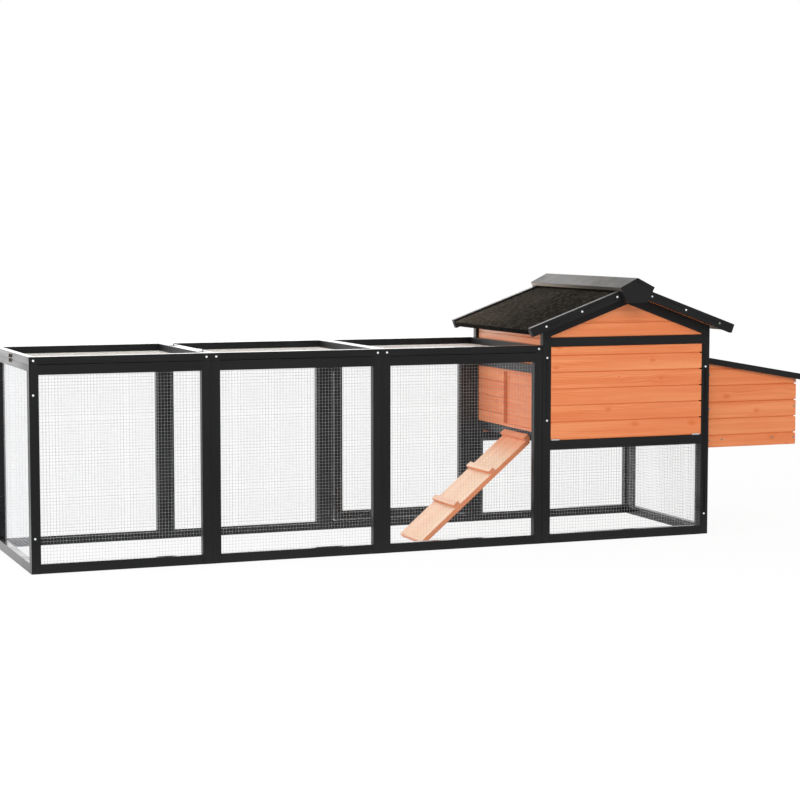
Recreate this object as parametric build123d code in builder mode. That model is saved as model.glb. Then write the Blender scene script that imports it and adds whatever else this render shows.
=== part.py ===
"""A wooden chicken coop: a three-bay wire run, a raised house with a nest box, doors, lids and a ramp."""
import math
import os

from build123d import *

# Run sizes in millimetres
bay = 714.0
bay_count = 3
depth = 732.0
panel_h = 802.0
roof_frame_h = 29.0
timber_t = 28.0
stile_w = 37.0
roof_cross_w = 27.0
bottom_rail_h = 38.0
top_rail_h = 40.0
rebate_h = 2.0
rebate_deep = 8.0
end_lath_t = 10.0
end_top_rail_h = 26.0
end_strip_w = 12.0
joint_gap = 0.3
rest_gap = 0.4
loose_gap = 1.0
cut_past = 1.0

# House sizes
house_gap = 1.0
house_w = 788.0
front_mid_z = 392.0
back_mid_z = 363.0
mid_rail_h = 39.0
head_z = 824.0
head_h = 36.5
side_rail_z = 418.0
side_rail_h = 39.0
band_z = 707.0
band_h = 36.0
lid_rail_z = 752.0
lid_rail_h = 38.0
jamb_w = 74.0
wall_inset = 14.0
board_t = 12.0
board_pitch = 69.5
board_base_z = 438.0
end_notch_l = 9.0
end_notch_h = 5.5
board_gap = 0.4
groove = 2.5
wall_top_z = 908.0
gable_inset = 6.0
gable_joint_z = 919.0
floor_t = 6.0
bearer_w = 24.0
bearer_h = 26.0

# Roof sizes, heights given at the ridge line
pitch = math.radians(20.0)
rafter_low_z = 997.5
rafter_top_z = 1043.0
batten_t = 7.3
roof_board_t = 16.0
felt_t = 3.0
barge_top_z = 1080.0
barge_depth = 38.5
barge_t = 24.0
roof_half = 480.0
overhang = 60.0
back_overhang = 46.0
cap_top_z = 1109.0
cap_half = 80.0
cap_drop = 40.0
cap_t = 17.0
cap_end_t = 27.0
plate_low_half = 47.5
plate_low_z = 1005.0
batten_in = 2.0

# Nest box sizes
nest_inset = 65.0
nest_gap = 0.5
sliver_cut = 10.0
nest_wall_t = 18.0
nest_length = 473.0
nest_low_z = 365.0
nest_groove_z = 418.0
nest_pitch = 72.0
nest_floor_z = 391.0
nest_floor_t = 15.0
divider_t = 12.0
divider_gap = 11.0
divider_top_z = 640.0
lid_top_z = 762.0
lid_slope = math.radians(9.9)
lid_gap = 5.0
lid_felt_t = 2.0
lid_board_t = 12.0
lid_edge_h = 24.0
lid_edge_w = 15.0
lid_overhang = 21.0

# Door, ramp and fitting sizes
door_t = 18.0
door_top_gap = 1.0
door_low_gap = 1.5
door_side_gap = 1.5
ledge_w = 60.0
ledge_t = 15.0
ledge_inset = 90.0
ledge_low_gap = 6.0
ledge_top_gap = 20.0
pop_y = 140.0
pop_w = 287.0
pop_z = 468.0
pop_h = 227.0
pop_door_t = 9.5
pop_lap = 10.0
pop_gap = 1.5
runner_w = 14.0
runner_lip = 17.0
runner_cap = 18.0
runner_end_gap = 2.0
rod_r = 4.0
rod_z = 584.0
knob_r = 12.0
knob_l = 16.0
knob_round = 4.0
rod_off = 22.0
rod_block_l = 40.0
rod_block_h = 20.0
rod_block_in = 5.0
ramp_y = 140.0
ramp_w = 242.0
ramp_t = 20.0
ramp_angle = math.radians(40.2)
ramp_top_z = 435.0
cleat_pitch = 209.0
cleat_count = 3
cleat_low = 27.0
cleat_high = 25.5
cleat_h = 16.5
ramp_axis_up = 5.0
perch_size = 32.0
perch_z = 745.0
perch_spots = (-150.0, 150.0)
perch_round = 8.0
perch_end_gap = 4.0
bracket_arm = 34.0
bracket_t = 3.0
bracket_shelf = 1.5
back_rail_h = 40.0
back_hinge_gap = 7.0
back_door_gap = 3.0
back_door_low_gap = 2.0
back_door_top_gap = 4.0
button_l = 64.0
button_w = 16.0
button_t = 8.0
button_pin_l = 20.0
button_off = 0.6
button_cap = 2.0

# Net, hinge and screw sizes
wire = 1.6
cell = 50.8
net_lap = 8.0
barrel_r = 3.5
leaf_t = 1.5
leaf_l = 18.0
pin_r = 1.8
pin_fit = 0.05
leaf_gap = 0.4
front_hinge_w = 36.0
right_hinge_in = 10.0
wide_hinge_w = 60.0
ramp_hinge_inset = 50.0
lid_hinge_y = (-200.0, 200.0)
hatch_hinge_y = (-220.0, 220.0)
back_hinge_z = (120.0, 722.0)
head_r = 4.0
screw_head_h = 2.6
shank_r = 2.0
hole_fit = 0.1
hook_reach = 18.0
hook_arm = 25.0
notch_gap = 2.0
hook_w = 9.0
hook_t = 2.5
hook_z = 817.0
boss_taper = 20.0
stud_r = 2.5
stud_head_r = 7.5
hook_proud = 8.0
hook_off = 1.0
stud_neck = 4.5

# Screw lengths, and places measured on the photograph
frame_screw_l = 55.0
barge_screw_l = 54.0
post_screw_l = 45.0
short_screw_l = 38.0
frame_screw_in = 17.5
inner_screw_in = 22.0
corner_screw_in = 15.7
corner_screw_z = (136.0, 685.0)
left_post_screw_z = (516.0, 778.0)
right_post_screw_in = 19.0
right_post_screw_z = (89.0, 724.0)
barge_screw_d = (82.0, 244.0, 407.0)
nest_floor_screw_d = (104.0, 356.0)
nest_end_screw_in = 9.5
nest_end_screw_z = (397.0, 533.0, 646.0)

# Places that follow from the sizes: the origin is under the middle of the whole coop
lid_end = bay * bay_count + house_gap + house_w + nest_length + lid_overhang
run_x = (hook_proud - lid_end) / 2
front = -depth / 2
back = depth / 2
house_x = run_x + bay * bay_count + house_gap
house_r = house_x + house_w
mid_x = house_x + house_w / 2
roof_z = panel_h + roof_frame_h
inner_l = house_x + wall_inset + board_t
inner_r = house_r - timber_t
floor_z = side_rail_z + side_rail_h
floor_top = floor_z + floor_t

os.makedirs("parts", exist_ok=True)


def save(label, pieces):
    """Keeps the pieces as separate solids of one named node and writes its file."""
    with BuildPart() as node:
        add(pieces)
    node.part.label = label
    export_step(node.part, f"parts/{label}.step")
    print(label, len(node.part.solids()), "solids")


def timber(x0, x1, y0, y1, z0, z1):
    """A plain squared timber or board."""
    with BuildPart() as bar:
        with BuildSketch(Plane.XY.offset(z0)):
            with Locations(((x0 + x1) / 2, (y0 + y1) / 2)):
                Rectangle(x1 - x0, y1 - y0)
        extrude(amount=z1 - z0)
    return bar.part


def profile_xz(points, y0, y1):
    """A piece whose outline is drawn looking along the depth and cut to a thickness."""
    with BuildPart() as piece:
        with BuildSketch(Plane.XZ.offset(-y1)):
            with BuildLine():
                Polyline(*points, close=True)
            make_face()
        extrude(amount=y1 - y0)
    return piece.part


def grooved(piece, run, face, end):
    """Chamfers the long edges of a board on its outer face, so that neighbours meet in a V-groove."""
    with BuildPart() as board:
        add(piece)
        chamfer(board.edges().filter_by(run).group_by(face)[end], groove)
    return board.part


def end_notched(board, x, y, heights, low):
    """Cuts back the tongue and groove at the right end of a board, but not at the foot of its wall."""
    with BuildPart() as cut:
        add(board)
        for z in heights:
            if z > low + end_notch_h:
                half = end_notch_h / 2
                notch_x = (x - end_notch_l, x + cut_past)
                notch_y = (y[0] - cut_past, y[1] + cut_past)
                add(timber(*notch_x, *notch_y, z - half, z + half), mode=Mode.SUBTRACT)
    return cut.part


def mirrored(y0, y1):
    """The same span of depth at the front and at the back."""
    return ((front + y0, front + y1), (back - y1, back - y0))


def rows(z0, z1, base, step):
    """Splits a height into board rows whose joints lie on a fixed pitch."""
    joints = [z0]
    z = base
    while z < z1 - groove * 3:
        if z > z0 + groove * 3:
            joints.append(z)
        z += step
    joints.append(z1)
    return [(a + board_gap / 2, b - board_gap / 2) for a, b in zip(joints, joints[1:])]


def net(plane, width, height):
    """A flat welded net: one sheet with its square gaps cut out."""
    across = int(width / cell)
    up = int(height / cell)
    step_x = (width - wire) / across
    step_y = (height - wire) / up
    with BuildPart() as sheet:
        with BuildSketch(plane):
            Rectangle(width, height)
            with GridLocations(step_x, step_y, across, up):
                Rectangle(step_x - wire, step_y - wire, mode=Mode.SUBTRACT)
        extrude(amount=wire)
    return sheet.part


def net_xz(x0, x1, y, z0, z1):
    """An upright net facing the front, its back at depth y."""
    place = Plane(origin=((x0 + x1) / 2, y, (z0 + z1) / 2), x_dir=(1, 0, 0), z_dir=(0, -1, 0))
    return net(place, x1 - x0, z1 - z0)


def net_yz(x, y0, y1, z0, z1):
    """An upright net facing the end, its left side at x."""
    place = Plane(origin=(x, (y0 + y1) / 2, (z0 + z1) / 2), x_dir=(0, 1, 0), z_dir=(1, 0, 0))
    return net(place, y1 - y0, z1 - z0)


def net_xy(x0, x1, y0, y1, z):
    """A level net, its underside at z."""
    place = Plane(origin=((x0 + x1) / 2, (y0 + y1) / 2, z), x_dir=(1, 0, 0), z_dir=(0, 0, 1))
    return net(place, x1 - x0, y1 - y0)


def drilled(piece, spots):
    """Cuts the holes of those screws that pass through the piece."""
    box = piece.bounding_box()
    with BuildPart() as work:
        add(piece)
        for x, y, z, way, length in spots:
            near, far = sorted((y, y + way * length))
            level = box.min.X < x < box.max.X and box.min.Z < z < box.max.Z
            if level and near < box.max.Y and far > box.min.Y:
                with BuildSketch(Plane(origin=(x, y, z), x_dir=(1, 0, 0), z_dir=(0, way, 0))):
                    Circle(shank_r + hole_fit)
                extrude(amount=length + cut_past, mode=Mode.SUBTRACT)
    return work.part


def screw(length):
    """A pan-head screw standing on its point, its head above the level of the wood."""
    with BuildPart() as body:
        with BuildSketch(Plane.XY):
            Circle(head_r)
        extrude(amount=screw_head_h)
        fillet(body.edges().group_by(Axis.Z)[-1], screw_head_h * 0.6)
        with BuildSketch(Plane.XY.offset(-length)):
            Circle(shank_r)
        extrude(amount=length)
        chamfer(body.edges().group_by(Axis.Z)[0], shank_r * 0.7)
    return body.part


def placed_screws(spots):
    """One screw for each spot, driven to the back or to the front."""
    made = {}
    result = []
    for x, y, z, way, length in spots:
        if length not in made:
            made[length] = screw(length)
        place = Plane(origin=(x, y, z), x_dir=(1, 0, 0), z_dir=(0, -way, 0))
        result.append(made[length].moved(place.location))
    return result


def both_ways(front_spots):
    """Repeats the screws of the front at the back."""
    spots = []
    for x, y, z, length in front_spots:
        spots.append((x, front + y, z, 1, length))
        spots.append((x, back - y, z, -1, length))
    return spots


def hinge_leaf(width, middle):
    """A hinge leaf on the level, its barrel along X at the origin; the outer one also holds the pin."""
    third = width / 3
    inner = [(-third / 2 + leaf_gap / 2, third / 2 - leaf_gap / 2)]
    outer = [(-width / 2, -third / 2 - leaf_gap / 2), (third / 2 + leaf_gap / 2, width / 2)]
    own = inner if middle else outer
    other = outer if middle else inner
    clear = barrel_r + leaf_gap
    with BuildPart() as leaf:
        with BuildSketch(Plane.XY.offset(-barrel_r)):
            with Locations((0, leaf_l / 2)):
                Rectangle(width, leaf_l)
        extrude(amount=leaf_t)
        for a, b in own:
            with BuildSketch(Plane.YZ.offset(a)):
                Circle(barrel_r)
            extrude(amount=b - a)
        for a, b in other:
            with BuildSketch(Plane.YZ.offset(a - leaf_gap)):
                Rectangle(2 * clear, 2 * clear)
            extrude(amount=b - a + 2 * leaf_gap, mode=Mode.SUBTRACT)
        with BuildSketch(Plane.YZ.offset(-width / 2)):
            Circle(pin_r + pin_fit if middle else pin_r)
        extrude(amount=width, mode=Mode.SUBTRACT if middle else Mode.ADD)
    return leaf.part


def on_face(leaf, at, along, normal):
    """Lays a hinge leaf on a face: it reaches along the face, and the normal points out of the wood."""
    place = Plane(origin=at, x_dir=Vector(*along).cross(Vector(*normal)), z_dir=normal)
    return leaf.moved(place.location)


def bay_x(i):
    """Left face of a run bay."""
    return run_x + bay * i


# Screws that the photograph shows, and the same ones on the back
frame_screw_z = panel_h + roof_frame_h / 2
frame_spots = []
hatch_spots = []
for i in range(bay_count):
    left_in = inner_screw_in if i else frame_screw_in
    for x in (bay_x(i) + left_in, bay_x(i + 1) - frame_screw_in):
        (hatch_spots if i == 0 else frame_spots).append((x, 0.0, frame_screw_z, frame_screw_l))
corner_spots = [(run_x + corner_screw_in, 0.0, z, short_screw_l) for z in corner_screw_z]
post_spots = [(house_x + wall_inset + board_t / 2, 0.0, z, post_screw_l) for z in left_post_screw_z]
post_spots += [(house_r - right_post_screw_in, 0.0, z, post_screw_l) for z in right_post_screw_z]
barge_spots = []
for d in barge_screw_d:
    z = barge_top_z - d * math.tan(pitch) - barge_depth / 2 / math.cos(pitch)
    for x in (mid_x - d, mid_x + d):
        barge_spots.append((x, front - overhang, z, 1, barge_screw_l))
        barge_spots.append((x, back + back_overhang, z, -1, barge_screw_l))
nest_end_x = house_r + nest_length
nest_screw_z = nest_floor_z + nest_floor_t / 2
nest_spots = [(house_r + d, nest_inset, nest_screw_z, short_screw_l) for d in nest_floor_screw_d]
nest_spots += [(nest_end_x - nest_end_screw_in, nest_inset, z, short_screw_l) for z in nest_end_screw_z]
fixed_spots = both_ways(frame_spots + corner_spots + post_spots + nest_spots) + barge_spots
button_at = (bay_x(bay_count) - joint_gap - stile_w / 2, back + button_off, panel_h / 2)
button_spot = (button_at[0], back, button_at[2], -1, button_pin_l)
hatch_screw_spots = both_ways(hatch_spots)

# Upright panels of the run
stiles = []
bottom_rails = []
top_rails = []
side_nets = []
for i in range(bay_count):
    x0 = bay_x(i) + joint_gap
    x1 = bay_x(i + 1) - joint_gap
    for is_back, (y0, y1) in enumerate(mirrored(0, timber_t)):
        stiles.append(timber(x0, x0 + stile_w, y0, y1, 0, panel_h))
        stiles.append(timber(x1 - stile_w, x1, y0, y1, 0, panel_h))
        bottom_rails.append(timber(x0 + stile_w, x1 - stile_w, y0, y1, 0, bottom_rail_h))
        if is_back and i == bay_count - 1:
            continue
        rail_x = (x0 + stile_w, x1 - stile_w)
        rebate_y = (y1 - rebate_deep, y1 + cut_past) if is_back else (y0 - cut_past, y0 + rebate_deep)
        with BuildPart() as rail:
            add(timber(*rail_x, y0, y1, panel_h - top_rail_h, panel_h))
            add(timber(*rail_x, *rebate_y, panel_h - rebate_h, panel_h + cut_past), mode=Mode.SUBTRACT)
        top_rails.append(rail.part)
        net_y = y0 if is_back else y1 + wire
        net_z = (bottom_rail_h - net_lap, panel_h - top_rail_h + net_lap)
        side_nets.append(net_xz(x0 + stile_w - net_lap, x1 - stile_w + net_lap, net_y, *net_z))
save("run_stiles", [drilled(s, fixed_spots + [button_spot]) for s in stiles])
save("run_bottom_rails", bottom_rails)
save("run_top_rails", top_rails)
save("run_mesh", side_nets)

# Left end panel of the run, between the front and back panels
end_y = (front + timber_t, back - timber_t)
end_rail_z = panel_h - end_top_rail_h
end_rails = [timber(run_x, run_x + timber_t, *end_y, 0, bottom_rail_h)]
stud_z = hook_z - hook_reach
lath_x = run_x + timber_t - end_lath_t
with BuildPart() as end_top:
    add(timber(run_x, lath_x, *end_y, end_rail_z, panel_h))
    with BuildSketch(Plane(origin=(run_x, 0, stud_z), x_dir=(0, 1, 0), z_dir=(1, 0, 0))):
        Circle(stud_r + hole_fit)
    extrude(amount=timber_t / 2, mode=Mode.SUBTRACT)
end_rails.append(end_top.part)
# The lath behind the rail ends lower, so that the net under the hatch clears it
end_rails.append(timber(lath_x + joint_gap, run_x + timber_t, *end_y, end_rail_z, panel_h - rebate_h))
strip_z = (bottom_rail_h + joint_gap, end_rail_z - joint_gap)
for y0, y1 in mirrored(timber_t, timber_t + end_strip_w):
    end_rails.append(drilled(timber(run_x, run_x + timber_t, y0, y1, *strip_z), fixed_spots))
save("end_frame", end_rails)
end_net_y = (end_y[0] + end_strip_w - net_lap, end_y[1] - end_strip_w + net_lap)
save("end_mesh", [net_yz(run_x + timber_t, *end_net_y, bottom_rail_h - net_lap, end_rail_z + net_lap)])

# Roof frames: the first bay's is the hatch, the others are fixed
frame_rails = []
roof_nets = []
pin_hole = Plane(origin=(run_x, 0, hook_z), x_dir=(0, 1, 0), z_dir=(1, 0, 0))
for i in range(bay_count):
    x0 = bay_x(i) + joint_gap
    x1 = bay_x(i + 1) - joint_gap
    low = panel_h + rest_gap
    spots = fixed_spots if i else hatch_screw_spots
    longs = [drilled(timber(x0, x1, y0, y1, low, roof_z), spots) for y0, y1 in mirrored(0, stile_w)]
    cross_y = (front + stile_w + joint_gap, back - stile_w - joint_gap)
    crosses = []
    for a in (x0, x1 - roof_cross_w):
        crosses.append(drilled(timber(a, a + roof_cross_w, *cross_y, low, roof_z), spots))
    net_x = (x0 + roof_cross_w - net_lap, x1 - roof_cross_w + net_lap)
    net_y = (front + timber_t + loose_gap, back - timber_t - loose_gap)
    roof_net = net_xy(*net_x, *net_y, low - wire)
    if i:
        frame_rails += longs + crosses
        roof_nets.append(roof_net)
        continue
    with BuildPart() as hook_rail:
        add(crosses[0])
        with BuildSketch(pin_hole):
            Circle(pin_r + pin_fit)
        extrude(amount=timber_t / 2, mode=Mode.SUBTRACT)
    save("hatch_frame", longs + [hook_rail.part, crosses[1]])
    save("hatch_mesh", [roof_net])
save("hatch_screws", placed_screws(hatch_screw_spots))
save("roof_frames", frame_rails)
save("roof_frame_mesh", roof_nets)

# Hook of the hatch, swung aside, and the stud that it drops over
with BuildPart() as hook:
    with BuildSketch(Plane(origin=(run_x - hook_off, 0, hook_z), x_dir=(0, 1, 0), z_dir=(-1, 0, 0))):
        Circle(hook_w / 2)
        with Locations((-hook_arm / 2, 0)):
            Rectangle(hook_arm, hook_w)
        with Locations((-hook_reach, hook_w / 2)):
            Rectangle(2 * stud_r + notch_gap, hook_w + 2 * stud_r + notch_gap, mode=Mode.SUBTRACT)
    extrude(amount=hook_t)
    with BuildSketch(Plane(origin=(run_x - hook_off - hook_t, 0, hook_z), x_dir=(0, 1, 0), z_dir=(-1, 0, 0))):
        Circle(stud_head_r)
    extrude(amount=hook_proud - hook_off - hook_t, taper=boss_taper)
    with BuildSketch(Plane(origin=(run_x - hook_off, 0, hook_z), x_dir=(0, 1, 0), z_dir=(1, 0, 0))):
        Circle(pin_r)
    extrude(amount=timber_t / 2)
save("hatch_hook", [hook.part])
with BuildPart() as stud:
    with BuildSketch(Plane(origin=(run_x + timber_t / 2, 0, stud_z), x_dir=(0, 1, 0), z_dir=(-1, 0, 0))):
        Circle(stud_r)
    extrude(amount=timber_t / 2 + stud_neck)
    with BuildSketch(Plane(origin=(run_x - stud_neck, 0, stud_z), x_dir=(0, 1, 0), z_dir=(-1, 0, 0))):
        Circle(stud_head_r)
    extrude(amount=hook_proud - stud_neck, taper=boss_taper)
save("hook_stud", [stud.part])

# House posts with sloping tops, and the rails between them
slope = math.tan(pitch)


def roof_line(ridge_z, x):
    """Height of a sloping roof line over a place, from its height at the ridge."""
    return ridge_z - abs(x - mid_x) * slope


posts = []
for y0, y1 in mirrored(0, timber_t):
    for x0 in (house_x, house_r - stile_w):
        x1 = x0 + stile_w
        tops = [(x1, roof_line(rafter_low_z, x1)), (x0, roof_line(rafter_low_z, x0))]
        posts.append(drilled(profile_xz([(x0, 0), (x1, 0)] + tops, y0, y1), fixed_spots))
save("house_posts", posts)
inside_x = (house_x + stile_w, house_r - stile_w)
bottoms = []
mids = []
heads = []
for (y0, y1), mid_z in zip(mirrored(0, timber_t), (front_mid_z, back_mid_z)):
    bottoms.append(timber(*inside_x, y0, y1, 0, bottom_rail_h))
    mids.append(timber(*inside_x, y0, y1, mid_z, mid_z + mid_rail_h))
    heads.append(timber(*inside_x, y0, y1, head_z, head_z + head_h))
save("house_mid_rails", mids)
save("house_head_rails", heads)
sill_y = (front + timber_t + stile_w + joint_gap, back - timber_t - stile_w - joint_gap)
bottoms.append(timber(inner_r, house_r, *sill_y, 0, bottom_rail_h))
for y0, y1 in mirrored(timber_t + joint_gap, timber_t + stile_w):
    bottoms.append(drilled(timber(inner_r, house_r, y0, y1, 0, side_rail_z), fixed_spots))
save("house_base_frame", bottoms)
side_y = (front + timber_t, back - timber_t)
left_rail_x = (house_x + wall_inset, house_x + timber_t)
side_rails = [timber(*left_rail_x, *side_y, side_rail_z, side_rail_z + side_rail_h)]
for x0, z0, h in ((house_x, band_z, band_h), (inner_r, side_rail_z, side_rail_h),
                  (inner_r, lid_rail_z, lid_rail_h)):
    side_rails.append(timber(x0, x0 + timber_t, *side_y, z0, z0 + h))
save("house_side_rails", side_rails)
jambs = []
for y0, y1 in mirrored(timber_t, timber_t + jamb_w):
    jambs.append(drilled(timber(inner_r, house_r, y0, y1, floor_z, lid_rail_z), fixed_spots))
save("nest_jambs", jambs)
base_net_x = (inside_x[0] - net_lap, inside_x[1] + net_lap)
base_nets = [
    net_xz(*base_net_x, front + timber_t + wire, bottom_rail_h - net_lap, front_mid_z + net_lap),
    net_xz(*base_net_x, back - timber_t, bottom_rail_h - net_lap, back_mid_z + net_lap),
    net_yz(inner_r - wire, front + timber_t + stile_w - net_lap, back - timber_t - stile_w + net_lap,
           bottom_rail_h - net_lap, side_rail_z + net_lap),
]
save("house_base_mesh", base_nets)

# Boarded walls
face_x = house_x + wall_inset
pop_span = (front + pop_y, front + pop_y + pop_w)
left_boards = []
for z0, z1 in rows(floor_z, band_z, board_base_z, board_pitch):
    for y0, y1 in ((side_y[0], pop_span[0]), (pop_span[1], side_y[1])):
        board = grooved(timber(face_x, inner_l, y0, y1, z0, z1), Axis.Y, Axis.X, 0)
        left_boards.append(drilled(board, fixed_spots))
lap_y = (pop_span[0] + board_gap, pop_span[1] - board_gap)
left_boards.append(timber(face_x, inner_l, *lap_y, floor_z, pop_z))
left_boards.append(timber(face_x, inner_l, *lap_y, pop_z + pop_h, band_z))
for z0, z1 in rows(band_z + band_h, wall_top_z, board_base_z, board_pitch):
    board = grooved(timber(face_x, inner_l, *side_y, z0, z1), Axis.Y, Axis.X, 0)
    left_boards.append(drilled(board, fixed_spots))
save("left_wall_boards", left_boards)
right_boards = []
right_face = house_r - wall_inset
for z0, z1 in rows(lid_rail_z + lid_rail_h, wall_top_z, board_base_z, board_pitch):
    board = timber(right_face - board_t, right_face, *side_y, z0, z1)
    right_boards.append(grooved(board, Axis.Y, Axis.X, -1))
save("right_wall_boards", right_boards)
back_face = back - gable_inset
back_boards = []
rod_x = inner_l + rod_off
for z0, z1 in rows(back_mid_z + mid_rail_h, head_z, board_base_z, board_pitch):
    board = grooved(timber(*inside_x, back_face - board_t, back_face, z0, z1), Axis.X, Axis.Y, -1)
    if z0 < rod_z < z1:
        with BuildPart() as holed:
            add(board)
            with BuildSketch(Plane(origin=(rod_x, back_face, rod_z), x_dir=(1, 0, 0), z_dir=(0, -1, 0))):
                Circle(rod_r + loose_gap)
            extrude(amount=board_t, mode=Mode.SUBTRACT)
        board = holed.part
    back_boards.append(board)
save("back_wall_boards", back_boards)
gable_boards = []
for end, (y0, y1) in zip((0, -1), mirrored(gable_inset, gable_inset + board_t)):
    low_z = head_z + head_h
    joint = gable_joint_z
    half = (rafter_low_z - joint) / slope
    lower = [(inside_x[0], low_z), (inside_x[1], low_z), (inside_x[1], roof_line(rafter_low_z, inside_x[1])),
             (mid_x + half, joint), (mid_x - half, joint),
             (inside_x[0], roof_line(rafter_low_z, inside_x[0]))]
    high = joint + board_gap
    tip_half = (rafter_low_z - high) / slope
    upper = [(mid_x - tip_half, high), (mid_x + tip_half, high), (mid_x, rafter_low_z)]
    for outline in (lower, upper):
        gable_boards.append(grooved(profile_xz(outline, y0, y1), Axis.X, Axis.Y, end))
save("gable_boards", gable_boards)

# Floor, its bearers, perches and their brackets
bearers = [timber(house_x + timber_t, house_x + timber_t + bearer_w, *side_y, floor_z - bearer_h, floor_z),
           timber(inner_r - bearer_w, inner_r, *side_y, floor_z - bearer_h, floor_z)]
cross_x = (house_x + timber_t + bearer_w + joint_gap, inner_r - bearer_w - joint_gap)
for y0, y1 in mirrored(timber_t, timber_t + bearer_w):
    bearers.append(timber(*cross_x, y0, y1, floor_z - bearer_h, floor_z))
save("floor_bearers", bearers)
floor_y = (side_y[0] + loose_gap, side_y[1] - loose_gap)
save("house_floor", [timber(house_x + timber_t, inner_r, *floor_y, floor_z, floor_top)])
perches = []
brackets = []
for y in perch_spots:
    with BuildPart() as perch:
        perch_x = (inner_l + perch_end_gap, inner_r - perch_end_gap)
        add(timber(*perch_x, y - perch_size / 2, y + perch_size / 2, perch_z, perch_z + perch_size))
        fillet(perch.edges().filter_by(Axis.X), perch_round)
    perches.append(perch.part)
    for wall_x, way in ((inner_l, 1), (inner_r, -1)):
        arm_x = wall_x + way * bracket_arm
        plate_x = wall_x + way * bracket_t
        outline = [(wall_x, perch_z - bracket_shelf), (arm_x, perch_z - bracket_shelf), (arm_x, perch_z),
                   (plate_x, perch_z), (plate_x, perch_z + bracket_arm), (wall_x, perch_z + bracket_arm)]
        brackets.append(profile_xz(outline, y - perch_size / 2, y + perch_size / 2))
save("perches", perches)
save("perch_brackets", brackets)

# Roof of the house, drawn as outlines across the ridge


def slope_piece(side, ridge_z, thickness, x_in, x_out):
    """Outline of a sloping plate from the ridge side outwards, its outer end cut square."""
    top_in = (mid_x + side * x_in, ridge_z - x_in * slope)
    top_out = (mid_x + side * x_out, ridge_z - x_out * slope)
    low_out = (top_out[0] - side * thickness * math.sin(pitch), top_out[1] - thickness * math.cos(pitch))
    low_in = (top_in[0], top_in[1] - thickness / math.cos(pitch))
    return [top_in, top_out, low_out, low_in]


def lift(thickness):
    """Upright height of a sloping thickness."""
    return thickness / math.cos(pitch)


batten_top_z = rafter_top_z + lift(batten_t)
board_top_z = batten_top_z + lift(roof_board_t)
felt_top_z = board_top_z + lift(felt_t)
roof_ends = (front - overhang, back + back_overhang)
roof_y = (roof_ends[0] + barge_t, roof_ends[1] - barge_t)
rafters = []
battens = []
boards = []
felts = []
barges = []
caps = []
for side in (-1, 1):
    near_x = mid_x + side * joint_gap
    far_x = mid_x + side * house_w / 2
    rafter = [(near_x, roof_line(rafter_low_z, near_x)), (near_x, roof_line(rafter_top_z, near_x)),
              (far_x, roof_line(rafter_top_z, far_x)), (far_x, roof_line(rafter_low_z, far_x))]
    for y0, y1 in mirrored(0, timber_t):
        rafters.append(profile_xz(rafter, y0, y1))
    for y0, y1 in ((roof_y[0], front + timber_t), (back - timber_t, roof_y[1])):
        battens.append(profile_xz(slope_piece(side, batten_top_z, batten_t, batten_in, house_w / 2), y0, y1))
    board = slope_piece(side, board_top_z, roof_board_t, joint_gap, roof_half - felt_t)
    boards.append(drilled(profile_xz(board, *roof_y), fixed_spots))
    eave_in, eave_out, eave_low = board[:3]
    felt = slope_piece(side, felt_top_z, felt_t + roof_board_t, joint_gap, roof_half)[:3]
    felts.append(profile_xz(felt + [eave_low, eave_out, eave_in], *roof_y))
    for y0, y1 in ((roof_ends[0], roof_y[0]), (roof_y[1], roof_ends[1])):
        barge = profile_xz(slope_piece(side, barge_top_z, barge_depth, joint_gap, roof_half), y0, y1)
        barges.append(drilled(barge, fixed_spots))
    cap_pitch = math.atan2(cap_drop, cap_half)
    cap_low = (mid_x + side * (cap_half - cap_t * math.sin(cap_pitch)),
               cap_top_z - cap_drop - cap_t * math.cos(cap_pitch))
    cap = [(mid_x + side * joint_gap, cap_top_z), (mid_x + side * cap_half, cap_top_z - cap_drop), cap_low,
           (mid_x + side * joint_gap, cap_top_z - cap_t / math.cos(cap_pitch))]
    caps.append(profile_xz(cap, roof_ends[0] - cap_end_t, roof_ends[1] + cap_end_t))
save("gable_rafters", rafters)
save("roof_battens", battens)
save("roof_boards", boards)
save("roof_felts", felts)
save("barge_boards", barges)
save("ridge_boards", caps)
under_cap = cap_top_z - cap_t / math.cos(cap_pitch) - joint_gap
plate_half = cap_half - cap_t * math.sin(cap_pitch)
plate_z = under_cap - plate_half * cap_drop / cap_half
plate = [(mid_x - plate_low_half, plate_low_z), (mid_x + plate_low_half, plate_low_z),
         (mid_x + plate_half, plate_z), (mid_x, under_cap), (mid_x - plate_half, plate_z)]
plate_y = ((roof_ends[0] - cap_end_t, roof_ends[0]), (roof_ends[1], roof_ends[1] + cap_end_t))
plates = [profile_xz(plate, y0, y1) for y0, y1 in plate_y]
save("ridge_end_plates", plates)

# Nest box against the right wall
lid_x = house_r + lid_gap


def lid_line(x, below):
    """Height of a line of the sloping lid, a thickness below its top."""
    return lid_top_z - (x - house_r) * math.tan(lid_slope) - below / math.cos(lid_slope)


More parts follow.
